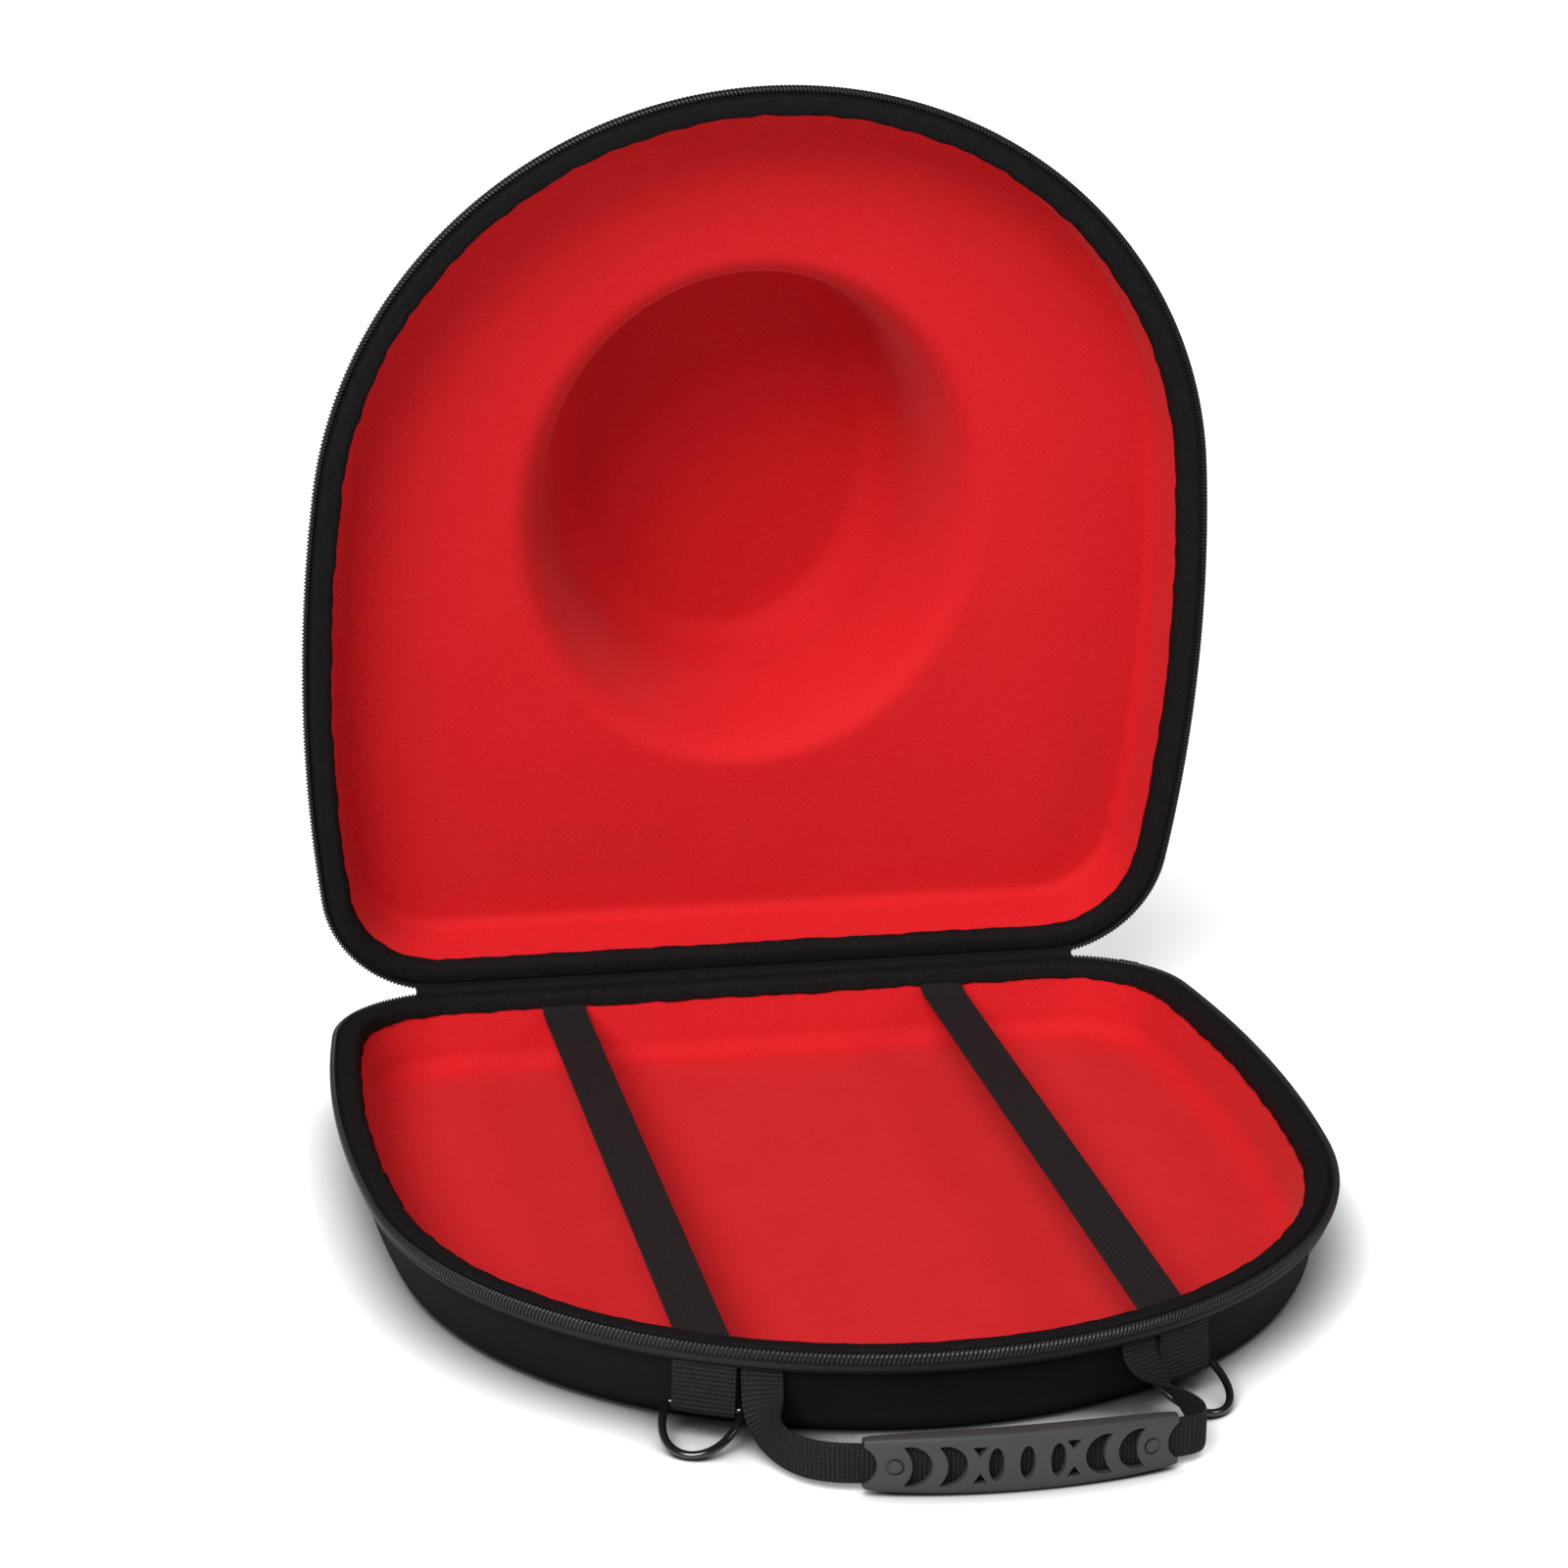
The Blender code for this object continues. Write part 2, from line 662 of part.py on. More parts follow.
def build():
    for obj in list(bpy.data.objects):
        bpy.data.objects.remove(obj)

    make_object("base_shell", *loft(base_shell(), True, False), BLACK, 0.75)
    make_object("base_lining", *loft(base_lining(), True, False), RED, 0.85)
    rings = binding(RIM_LOW, 1, BASE_CUP_IN, BASE_CUP_DEPTH)
    make_object("base_binding", *loft(rings, True, True), BLACK, 0.85)
    make_object("base_zip", *zip_half(RIM_LOW, 1), BLACK, 0.55)
    make_object("hinge_leaf_base", *hinge_leaf(RIM_LOW, 1), BLACK, 0.85)
    make_object("zip_slider", *zip_slider(), METAL, 0.3, 1.0)
    for side, name in ((-1, "left"), (1, "right")):
        make_object("ring_tab_" + name, *tab_loop(side * TAB_X), WEB, 0.8)
        make_object("d_ring_" + name, *d_ring(side * TAB_X), METAL, 0.25, 1.0)
        make_object("elastic_" + name, *elastic(side * ELASTIC_X), WEB, 0.8)
    make_object("handle_strap", *handle_strap(), WEB, 0.8)
    grip = make_object("handle_grip", *handle_grip(), RUBBER, 0.6)
    cut_windows(grip)

    rings = binding(RIM_HIGH, -1, LID_FOOT_IN, LID_DEPTH - LID_CUP_ROUND)
    turn_open([
        make_object("lid_shell", *loft(lid_shell(), True, False), BLACK, 0.75),
        make_object("lid_lining", *loft(lid_lining(), True, False), RED, 0.85),
        make_object("lid_binding", *loft(rings, True, True), BLACK, 0.85),
        make_object("lid_zip", *zip_half(RIM_HIGH, -1), BLACK, 0.55),
        make_object("hinge_leaf_lid", *hinge_leaf(RIM_HIGH, -1), BLACK, 0.85),
    ])


build()
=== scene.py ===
"""Looks for the hat travel case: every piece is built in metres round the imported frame.

The lid pieces are built closed and then turned open about the hinge line, as the frame's are.
"""
import math

import bmesh
import bpy
import numpy as np
from bpy.props import FloatProperty, FloatVectorProperty, PointerProperty
from mathutils import Matrix, Vector


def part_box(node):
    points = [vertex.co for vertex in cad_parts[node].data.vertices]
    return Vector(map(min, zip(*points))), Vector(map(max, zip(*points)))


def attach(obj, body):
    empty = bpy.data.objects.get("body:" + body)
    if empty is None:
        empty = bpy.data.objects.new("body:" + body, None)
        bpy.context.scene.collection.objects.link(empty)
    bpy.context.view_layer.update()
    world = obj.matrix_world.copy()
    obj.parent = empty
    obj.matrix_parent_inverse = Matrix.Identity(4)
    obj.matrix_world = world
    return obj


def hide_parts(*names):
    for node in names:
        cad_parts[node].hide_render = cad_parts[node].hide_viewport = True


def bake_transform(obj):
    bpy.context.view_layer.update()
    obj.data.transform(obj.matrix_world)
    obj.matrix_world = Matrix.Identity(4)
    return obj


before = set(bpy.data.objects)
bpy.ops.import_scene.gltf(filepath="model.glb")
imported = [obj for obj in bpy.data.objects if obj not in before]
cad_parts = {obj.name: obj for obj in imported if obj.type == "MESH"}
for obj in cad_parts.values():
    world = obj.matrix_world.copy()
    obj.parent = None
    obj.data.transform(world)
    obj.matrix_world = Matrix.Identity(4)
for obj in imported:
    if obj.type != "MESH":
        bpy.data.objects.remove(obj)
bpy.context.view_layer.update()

bl_info = {
    "name": "Hat travel case",
    "version": (1, 0, 0),
    "blender": (4, 5, 0),
    "location": "View3D > Sidebar > Hat case",
    "description": "Builds the cloth, zip, webbing, rings and grip of an open hat travel case",
    "category": "Object",
}

# Outline and heights of the frame
CASE_W = 0.410
CASE_L = 0.425
FRONT_R = 0.201
SIDE_R = 0.782
CORNER_R = 0.055
HINGE_Y = 0.213
HINGE_Z = 0.039
LID_OPEN = math.radians(80.0)
RIM_LOW = 0.0375
RIM_HIGH = 0.0405
LIP_H = 0.0075
FIT_GAP = 0.0003

# Moulded shells and linings
SHELL_T = 0.003
LIP_IN = 0.0011
WALL_IN = 0.0045
BASE_FOOT_IN = 0.009
BASE_ROUND = 0.010
LINING_T = 0.002
LINING_IN = 0.0098
BASE_CUP_IN = 0.0148
BASE_CUP_Z = 0.016
BASE_CUP_ROUND = 0.0107
LID_DEPTH = 0.032
LID_CUP_IN = 0.0143
LID_CUP_ROUND = 0.0067

# Crown dome: mouth and top ovals, and its profile as shares of the way in and of the depth
CROWN_DEPTH = 0.088
CROWN_Y = -0.003
CROWN_MOUTH = (0.1065, 0.1205)
CROWN_TOP = (0.0790, 0.0990)
CROWN_PROFILE = (
    (-0.22, 0.000), (0.02, 0.020), (0.22, 0.080), (0.38, 0.190),
    (0.68, 0.560), (0.88, 0.830), (1.12, 0.950), (1.50, 1.000),
)

# Ring tabs, rings, strap and grip
TAB_X = 0.0935
TAB_W = 0.025
TAB_T = 0.0013
TAB_IN = 0.0029
TAB_SEAM = 0.0045
RING_WIRE_R = 0.0016
RING_BAR_Z = 0.0118
RING_REACH = 0.024
RING_SIDE_GAP = 0.00085
STRAP_W = 0.016
STRAP_T = 0.0016
STRAP_TAB_GAP = 0.0020
STRAP_LOW_Z = 0.0065
STRAP_GRIP_GAP = 0.003
STRAP_BENDS = {-1: (0.0135, 0.0255), 1: (0.0095, 0.0275)}
GRIP_X = 0.0145
GRIP_Y = -0.2505
GRIP_Z = 0.0121
GRIP_BOW = 0.006
GRIP_L = 0.118
GRIP_MID = (0.0236, 0.0088)
GRIP_END = (0.0192, 0.0052)
ELASTIC_X = 0.0893
ELASTIC_W = 0.020
ELASTIC_T = 0.0011
ELASTIC_DROP = 0.0078
ELASTIC_CORDS = 5
ELASTIC_CORD_H = 0.00016
ELASTIC_SKIN = 0.00010
ELASTIC_EDGE = 0.0003
ELASTIC_TUCK = (0.025, 0.0018)

# Section of the grip: how square it and its slot are, and its softened edges
GRIP_SQUARE = 0.36
SLOT_SQUARE = 0.15
GRIP_SOFT = 0.00028

# Windows through the grip, as shares of its length and middle height: lenses (pitch, width,
# height), moons, and notches (place, width, edge, tip). Eyes and arches at its ends are in metres.
LENS = (0.0983, 0.0492, 0.5593)
MOON_X = (0.2542, 0.3627)
MOON_R = (0.0678, 0.3390)
MOON_BITE = 1.300
MOON_SHIFT = 1.2125
NOTCH = (0.1492, 0.0475, 0.3051, 0.1356)
EYE_X = 0.0482
EYE_R = (0.0024, 0.0034)
ARCH_X = 0.0625
ARCH_R = 0.0080

# Hinge cloth and zips; the coil's height and the cord in it are shares of the coil's sizes
HINGE_HALF = 0.1580
ZIP_END = 0.0085
COIL_OUT = 0.0003
COIL_DROP = 0.0011
COIL_LEAN = 0.0005
COIL_SHARE = 0.82
CORD_SHARE = (0.72, 0.70)

# Camera of the photograph: place, right, up and forward directions, lens in mm
CAMERA_PLACE = (-0.33575012, -1.54013329, 0.66712172)
CAMERA_RIGHT = (0.98085163, -0.19460892, 0.00757908)
CAMERA_UP = (0.04884293, 0.28347322, 0.95773551)
CAMERA_FORWARD = (0.18853234, 0.93902625, -0.28755044)
CAMERA_LENS = 92.608
SENSOR_W = 36.0

# Light, floor and the soft shade where the case meets the floor
SKY = 0.36
SKY_IN_GLOSS = 0.10
SKY_SEEN = 1.0
SUN_POWER = 3.3
SUN_SPREAD = math.radians(38.0)
SUN_WAY = (0.45, 0.75, -0.80)
SOFTBOXES = (
    ("softbox_left", (-1.5, -1.4, 1.7), 14.0, 0.9),
    ("strip_right", (1.6, -1.0, 1.2), 6.0, 0.5),
)
FLOOR_HALF = 12.0
FLOOR_GLOW = 0.38
SHADE_REACH = 0.045
SHADE_SPAN = (0.25, 0.90)
SHADE_TONE = 0.05

FRONT_TURN = math.asin((CASE_W / 2 - SIDE_R) / (FRONT_R - SIDE_R))
SIDE_END = math.acos(
    (CASE_L - FRONT_R - CORNER_R - (SIDE_R - FRONT_R) * math.cos(FRONT_TURN))
    / (CORNER_R - SIDE_R)
)
BACK_HALF = (
    FRONT_R * math.sin(FRONT_TURN) + SIDE_R * (math.sin(SIDE_END) - math.sin(FRONT_TURN))
    - CORNER_R * math.sin(SIDE_END)
)
MM = 1000.0


def size(name, default, text, low=0.0, high=0.1):
    return FloatProperty(
        name=name, description=text, default=default, min=low, max=high,
        precision=5, unit="LENGTH",
    )


def colour(name, default, text):
    return FloatVectorProperty(
        name=name, description=text, default=default, min=0.0, max=1.0, size=3, subtype="COLOR",
    )


class CaseSizes(bpy.types.PropertyGroup):
    rim_step: size("Rim step", 0.0022, "Spacing of points round the rim", 0.001)
    bead: size("Lip bead", 0.0006, "Radius of the bead under the lip")
    binding_rise: size("Binding rise", 0.00125, "Height of the binding above the rim")
    binding_ripple: size("Binding ripple", 0.00045, "How far the sewn edge of the binding wanders")
    coil_pitch: size("Coil pitch", 0.00175, "Distance between turns of the zip coil", 0.0005)
    coil_height: size("Coil height", 0.0024, "Half height of the zip coil")
    coil_depth: size("Coil depth", 0.0010, "Half depth of the zip coil")
    coil_wire: size("Coil wire", 0.00052, "Radius of the nylon in the coil")
    rib_pitch: size("Rib pitch", 0.00175, "Distance between ribs of the webbing", 0.0005)
    rib_height: size("Rib height", 0.00030, "Height of the ribs of the webbing")
    groove: size("Grip groove", 0.0011, "Depth of the round grooves near the ends of the grip")


class CaseColours(bpy.types.PropertyGroup):
    cover: colour("Cover", (0.0045, 0.0045, 0.0049), "Cloth of the moulded shells")
    lining: colour("Lining", (0.470, 0.0045, 0.0070), "Short pile of the lining")
    lining_lit: colour("Lining nap", (0.570, 0.018, 0.023), "Pile where it catches light")
    binding: colour("Binding", (0.0022, 0.0022, 0.0024), "Twill over the rim")
    glint: colour("Thread glint", (0.100, 0.100, 0.104), "Threads that catch light")
    tape: colour("Zip tape", (0.0100, 0.0100, 0.0104), "Tape under the zip coil")
    coil: colour("Zip coil", (0.0130, 0.0130, 0.0135), "Nylon coil")
    webbing: colour("Webbing", (0.0050, 0.0050, 0.0053), "Ring tabs and handle strap")
    # painted highlight colour: rib and thread crests of the webbing, zip tape and elastic are lifted
    # towards it; the coil uses it for random flecks
    webbing_lit: colour("Webbing crest", (0.0480, 0.0480, 0.0490), "Crests of the webbing ribs")
    elastic: colour("Elastic", (0.0090, 0.0090, 0.0094), "Hold-down elastics")
    metal: colour("Dark metal", (0.0040, 0.0040, 0.0044), "Rings and zip slider")
    grip: colour("Grip", (0.0310, 0.0310, 0.0322), "Rubber sleeve on the handle")
    grip_lit: colour("Grip bloom", (0.0465, 0.0465, 0.0483), "Paler patches of the rubber")
    floor: colour("Floor", (0.97, 0.97, 0.97), "Pale floor")
    floor_lit: colour("Floor grain", (0.9797, 0.9797, 0.9797), "Paler grain of the floor")


# Rim and surfaces
def sample_rim(step):
    """Points round the outline from the middle of the front, their outward directions and run."""
    points, outs, runs = [(0.0, -CASE_L / 2)], [(0.0, -1.0)], [0.0]
    x, y, run = 0.0, -CASE_L / 2, 0.0
    arcs = (
        (FRONT_R, 0.0, FRONT_TURN),
        (SIDE_R, FRONT_TURN, SIDE_END),
        (CORNER_R, SIDE_END, math.pi),
    )
    for radius, start, end in arcs:
        steps = max(2, round(radius * (end - start) / step))
        for i in range(1, steps + 1):
            a = start + (end - start) * i / steps
            points.append((
                x + radius * (math.sin(a) - math.sin(start)),
                y + radius * (math.cos(start) - math.cos(a)),
            ))
            outs.append((math.sin(a), -math.cos(a)))
            runs.append(run + radius * (a - start))
        (x, y), run = points[-1], runs[-1]
    curved = len(points)
    steps = max(2, round(x / step))
    for i in range(1, steps + 1):
        points.append((x * (1 - i / steps), y))
        outs.append((0.0, 1.0))
        runs.append(run + x * i / steps)
    points, outs, runs = np.array(points), np.array(outs), np.array(runs)
    mirror = np.array((-1.0, 1.0))
    total = 2 * runs[-1]
    full = (
        np.vstack((points, points[-2:0:-1] * mirror)),
        np.vstack((outs, outs[-2:0:-1] * mirror)),
        np.concatenate((runs, total - runs[-2:0:-1], (total,))),
    )
    curved = int(np.searchsorted(runs, runs[curved - 1] - ZIP_END))
    zipped = (
        np.vstack((points[curved - 1:0:-1] * mirror, points[:curved])),
        np.vstack((outs[curved - 1:0:-1] * mirror, outs[:curved])),
        np.concatenate((-runs[curved - 1:0:-1], runs[:curved])),
    )
    return full, zipped


def offset_rows(rim, profile):
    """Grid of points from a profile of (inset, z); each may vary along the rim."""
    points, outs = rim[0], rim[1]
    rows = []
    for inset, z in profile:
        flat = points - outs * np.reshape(inset, (-1, 1))
        height = np.broadcast_to(np.reshape(z, (-1, 1)), (len(points), 1))
        rows.append(np.hstack((flat, height)))
    return np.array(rows)


def shrink_rows(row, count, lowest=0.01):
    """Rows that draw a ring in towards its middle."""
    middle = np.array((0.0, CROWN_Y, row[:, 2].mean()))
    return np.array([middle + (row - middle) * max(lowest, 1 - i / count) for i in range(1, count + 1)])


def arc_profile(inset, z, radius, drop, count=9):
    """Quarter round from a wall at (inset, z) to a floor; drop is -1 downwards and 1 upwards."""
    angles = np.linspace(0, math.pi / 2, count)
    return [
        (inset + radius * (1 - math.cos(a)), z + drop * radius * math.sin(a)) for a in angles
    ]


def line_profile(start, end, count):
    return [
        tuple(np.array(start) + (np.array(end) - np.array(start)) * i / count) for i in range(count)
    ]


def grid_normals(rows, side):
    along = np.roll(rows, -1, 1) - np.roll(rows, 1, 1)
    normal = np.cross(along, np.gradient(rows, axis=0))
    length = np.linalg.norm(normal, axis=2, keepdims=True)
    return side * normal / np.maximum(length, 1e-12)


def raised(rows, side, distance):
    """The same grid moved away from the hollow, its rim row kept at its height."""
    moved = rows + grid_normals(rows, side) * distance
    moved[0, :, 2] = rows[0, :, 2]
    return moved


def turned_open(points):
    """Points of the closed lid turned open about the hinge line."""
    out = np.array(points, dtype=float)
    y, z = out[..., 1] - HINGE_Y, out[..., 2] - HINGE_Z
    c, s = math.cos(LID_OPEN), math.sin(LID_OPEN)
    out[..., 1] = HINGE_Y + c * y + s * z
    out[..., 2] = HINGE_Z - s * y + c * z
    return out


def mirrored(rows):
    """Base rows as closed lid rows: upside down about the middle of the rim gap."""
    out = np.array(rows, dtype=float)
    out[..., 2] = 2 * HINGE_Z - out[..., 2]
    return out


def smooth_curve(knots, per_span, first, last):
    """Cubic through the knots with given end directions."""
    knots = np.array(knots, dtype=float)
    gap = np.linalg.norm(np.diff(knots, axis=0), axis=1)
    slope = np.zeros_like(knots)
    for i in range(1, len(knots) - 1):
        before = (knots[i] - knots[i - 1]) / gap[i - 1]
        after = (knots[i + 1] - knots[i]) / gap[i]
        slope[i] = (before * gap[i] + after * gap[i - 1]) / (gap[i] + gap[i - 1])
    slope[0], slope[-1] = first, last
    out = []
    for i in range(len(knots) - 1):
        for k in range(per_span):
            t = k / per_span
            h = gap[i]
            out.append(
                knots[i] * (2 * t**3 - 3 * t**2 + 1) + slope[i] * h * (t**3 - 2 * t**2 + t)
                + knots[i + 1] * (3 * t**2 - 2 * t**3) + slope[i + 1] * h * (t**3 - t**2)
            )
    out.append(knots[-1])
    return np.array(out)


def chaikin(points, passes, closed=True):
    points = np.array(points, dtype=float)
    for _ in range(passes):
        after = np.roll(points, -1, 0) if closed else points[1:]
        here = points if closed else points[:-1]
        cut = np.empty((2 * len(here),) + points.shape[1:])
        cut[0::2] = 0.75 * here + 0.25 * after
        cut[1::2] = 0.25 * here + 0.75 * after
        points = cut if closed else np.vstack((points[:1], cut, points[-1:]))
    return points


# Meshes
def finish_piece(name, mesh, material, sharp=40.0):
    bm = bmesh.new()
    bm.from_mesh(mesh)
    bmesh.ops.recalc_face_normals(bm, faces=bm.faces)
    bm.to_mesh(mesh)
    bm.free()
    mesh.shade_smooth()
    mesh.set_sharp_from_angle(angle=math.radians(sharp))
    mesh.materials.clear()
    mesh.materials.append(material)
    obj = bpy.data.objects.new(name, mesh)
    bpy.context.scene.collection.objects.link(obj)
    return obj


def grid_mesh(name, rows, wrap_rows=False, wrap_cols=False, u=None, v=None, caps=False):
    """Mesh from a grid of points, with its UV map in millimetres."""
    count_r, count_c = rows.shape[:2]
    r = np.arange(count_r if wrap_rows else count_r - 1)
    c = np.arange(count_c if wrap_cols else count_c - 1)
    rr, cc = np.meshgrid(r, c, indexing="ij")
    r2, c2 = (rr + 1) % count_r, (cc + 1) % count_c
    quads = np.stack((
        rr * count_c + cc, rr * count_c + c2, r2 * count_c + c2, r2 * count_c + cc,
    ), -1).reshape(-1, 4)
    faces = quads.tolist()
    if caps:
        faces.append(list(range(count_c)))
        faces.append([(count_r - 1) * count_c + k for k in range(count_c)])
    mesh = bpy.data.meshes.new(name)
    mesh.from_pydata(rows.reshape(-1, 3).tolist(), [], faces)
    if u is None:
        step = np.linalg.norm(np.roll(rows, -1, 1) - rows, axis=2).mean(0)
        u = np.concatenate(((0.0,), np.cumsum(step)))
    if v is None:
        step = np.linalg.norm(np.roll(rows, -1, 0) - rows, axis=2).mean(1)
        v = np.concatenate(((0.0,), np.cumsum(step)))
    corner_u = np.stack((u[cc], u[cc + 1], u[cc + 1], u[cc]), -1).reshape(-1)
    corner_v = np.stack((v[rr], v[rr], v[rr + 1], v[rr + 1]), -1).reshape(-1)
    flat = np.zeros((len(mesh.loops), 2))
    flat[:len(corner_u), 0] = corner_u * MM
    flat[:len(corner_u), 1] = corner_v * MM
    layer = mesh.uv_layers.new(name="cloth_mm")
    layer.data.foreach_set("uv", flat.ravel())
    return mesh


def joined(name, meshes, material, sharp=40.0):
    bm = bmesh.new()
    for mesh in meshes:
        bm.from_mesh(mesh)
        bpy.data.meshes.remove(mesh)
    mesh = bpy.data.meshes.new(name)
    bm.to_mesh(mesh)
    bm.free()
    return finish_piece(name, mesh, material, sharp)


def dress(obj, body, nodes):
    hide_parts(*nodes)
    if body:
        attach(obj, body)
    return obj


# Shared node groups
def new_group(name, inputs, outputs):
    tree = bpy.data.node_groups.new(name, "ShaderNodeTree")
    for label, kind, value in inputs:
        socket = tree.interface.new_socket(name=label, in_out="INPUT", socket_type=kind)
        if value is not None:
            socket.default_value = value
    for label in outputs:
        tree.interface.new_socket(name=label, in_out="OUTPUT", socket_type="NodeSocketFloat")
    return tree, tree.nodes.new("NodeGroupInput"), tree.nodes.new("NodeGroupOutput")


def math_node(tree, operation, *values, clamp=False):
    node = tree.nodes.new("ShaderNodeMath")
    node.operation = operation
    node.use_clamp = clamp
    for socket, value in zip(node.inputs, values):
        if isinstance(value, (int, float)):
            socket.default_value = value
        else:
            tree.links.new(value, socket)
    return node.outputs[0]


def thread_group():
    """Two sets of threads: lines alone give twill or ribs, both together give a basket weave."""
    name = "case_threads"
    if name in bpy.data.node_groups:
        return bpy.data.node_groups[name]
    tree, inside, outside = new_group(name, (
        ("Coordinates", "NodeSocketVector", None),
        ("Lines", "NodeSocketVector", (1.0, 1.0, 0.0)),
        ("Crossing", "NodeSocketVector", (1.0, -1.0, 0.0)),
        ("Basket", "NodeSocketFloat", 0.5),
        ("Sharpness", "NodeSocketFloat", 3.0),
    ), ("Height", "Crest"))
    waves = []
    for label in ("Lines", "Crossing"):
        dot = tree.nodes.new("ShaderNodeVectorMath")
        dot.operation = "DOT_PRODUCT"
        tree.links.new(inside.outputs["Coordinates"], dot.inputs[0])
        tree.links.new(inside.outputs[label], dot.inputs[1])
        turns = math_node(tree, "MULTIPLY", dot.outputs["Value"], 2 * math.pi)
        waves.append(math_node(tree, "SINE", turns))
    both = math_node(tree, "MULTIPLY", waves[0], waves[1])
    gap = math_node(tree, "SUBTRACT", both, waves[0])
    mixed = math_node(tree, "MULTIPLY_ADD", gap, inside.outputs["Basket"], waves[0])
    height = math_node(tree, "MULTIPLY_ADD", mixed, 0.5, 0.5)
    crest = math_node(
        tree, "POWER", math_node(tree, "MAXIMUM", height, 0.0), inside.outputs["Sharpness"],
    )
    tree.links.new(height, outside.inputs["Height"])
    tree.links.new(crest, outside.inputs["Crest"])
    return tree


def nap_group():
    """Fine fibres and soft patches, both from 0 to 1."""
    name = "case_nap"
    if name in bpy.data.node_groups:
        return bpy.data.node_groups[name]
    tree, inside, outside = new_group(name, (
        ("Coordinates", "NodeSocketVector", None),
        ("Fibre Scale", "NodeSocketFloat", 1400.0),
        ("Patch Scale", "NodeSocketFloat", 28.0),
    ), ("Fibres", "Patches"))
    for label, detail, out in (("Fibre Scale", 3.0, "Fibres"), ("Patch Scale", 2.0, "Patches")):
        noise = tree.nodes.new("ShaderNodeTexNoise")
        noise.inputs["Detail"].default_value = detail
        tree.links.new(inside.outputs["Coordinates"], noise.inputs["Vector"])
        tree.links.new(inside.outputs[label], noise.inputs["Scale"])
        spread = tree.nodes.new("ShaderNodeMapRange")
        spread.inputs["From Min"].default_value = 0.3
        spread.inputs["From Max"].default_value = 0.7
        tree.links.new(noise.outputs["Fac"], spread.inputs["Value"])
        tree.links.new(spread.outputs["Result"], outside.inputs[out])
    return tree


def use_group(tree, group, coordinates, **values):
    node = tree.nodes.new("ShaderNodeGroup")
    node.node_tree = group
    tree.links.new(coordinates, node.inputs["Coordinates"])
    for label, value in values.items():
        node.inputs[label.replace("_", " ")].default_value = value
    return node


def surface(
    name, dark, lit, roughness, fibre_scale=1400.0, fibre_mix=0.4, fibre_bump=0.4,
    threads=None, thread_mix=0.6, thread_bump=0.0, patch_mix=0.15, rough_spread=0.08,
    specular=0.25, sheen=0.0, sheen_tint=(1.0, 1.0, 1.0), coat=0.0, bump_mm=0.12,
):
    """One finish: one case colour lifted to another on crests and fibres, with matching relief; the lift on
    thread crests is a painted highlight.
    """
    name = "finish_" + name
    if name in bpy.data.materials:
        return bpy.data.materials[name]
    tint = bpy.context.scene.case_colours
    material = bpy.data.materials.new(name)
    material.use_nodes = True
    tree = material.node_tree
    shader = tree.nodes["Principled BSDF"]
    place = tree.nodes.new("ShaderNodeTexCoord")
    nap = use_group(
        tree, nap_group(), place.outputs["Object"], Fibre_Scale=fibre_scale,
    )
    lift = math_node(tree, "MULTIPLY", nap.outputs["Fibres"], fibre_mix)
    lift = math_node(tree, "MULTIPLY_ADD", nap.outputs["Patches"], patch_mix, lift)
    height = math_node(tree, "MULTIPLY", nap.outputs["Fibres"], fibre_bump)
    if threads:
        lines, crossing, basket, sharpness = threads
        weave = use_group(
            tree, thread_group(), place.outputs["UV"],
            Lines=lines, Crossing=crossing, Basket=basket, Sharpness=sharpness,
        )
        # painted highlight: thread crests, flecked by the fibres, lifted towards the paler colour (glints
        # on the twill, light on the webbing ribs)
        shown = math_node(tree, "MULTIPLY", weave.outputs["Crest"], nap.outputs["Fibres"])
        lift = math_node(tree, "MULTIPLY_ADD", shown, thread_mix, lift)
        height = math_node(tree, "MULTIPLY_ADD", weave.outputs["Height"], thread_bump, height)
    lift = math_node(tree, "MINIMUM", lift, 1.0)
    mix = tree.nodes.new("ShaderNodeMix")
    mix.data_type = "RGBA"
    mix.inputs["A"].default_value = (*getattr(tint, dark), 1.0)
    mix.inputs["B"].default_value = (*getattr(tint, lit), 1.0)
    tree.links.new(lift, mix.inputs["Factor"])
    tree.links.new(mix.outputs["Result"], shader.inputs["Base Color"])
    rough = math_node(tree, "MULTIPLY_ADD", nap.outputs["Patches"], rough_spread, roughness)
    tree.links.new(rough, shader.inputs["Roughness"])
    bump = tree.nodes.new("ShaderNodeBump")
    bump.inputs["Strength"].default_value = 1.0
    bump.inputs["Distance"].default_value = bump_mm / MM
    tree.links.new(height, bump.inputs["Height"])
    tree.links.new(bump.outputs["Normal"], shader.inputs["Normal"])
    shader.inputs["Specular IOR Level"].default_value = specular
    shader.inputs["Sheen Weight"].default_value = sheen
    shader.inputs["Sheen Tint"].default_value = (*sheen_tint, 1.0)
    shader.inputs["Coat Weight"].default_value = coat
    shader.inputs["Coat Roughness"].default_value = 0.08
    return material


def cover_cloth():
    return surface(
        "cover_cloth", "cover", "tape", 0.70, fibre_scale=1900.0, fibre_mix=0.5,
        fibre_bump=0.35, threads=((1.6, 1.6, 0.0), (1.6, -1.6, 0.0), 0.5, 3.0), thread_mix=0.5,
        thread_bump=0.5, specular=0.06, bump_mm=0.05,
    )


def lining_pile():
    return surface(
        "lining_pile", "lining", "lining_lit", 0.72, fibre_scale=900.0, fibre_mix=0.45,
        fibre_bump=1.0, patch_mix=0.10, specular=0.12, sheen=0.10, sheen_tint=(1.0, 0.35, 0.35),
        bump_mm=0.10,
    )


def binding_twill():
    return surface(
        "binding_twill", "binding", "glint", 0.70, fibre_scale=1500.0, fibre_mix=0.03,
        fibre_bump=0.5, threads=((0.75, 0.95, 0.0), (1.9, 0.0, 0.0), 0.45, 7.0), thread_mix=1.0,
        thread_bump=1.0, patch_mix=0.0, specular=0.06, bump_mm=0.16,
    )


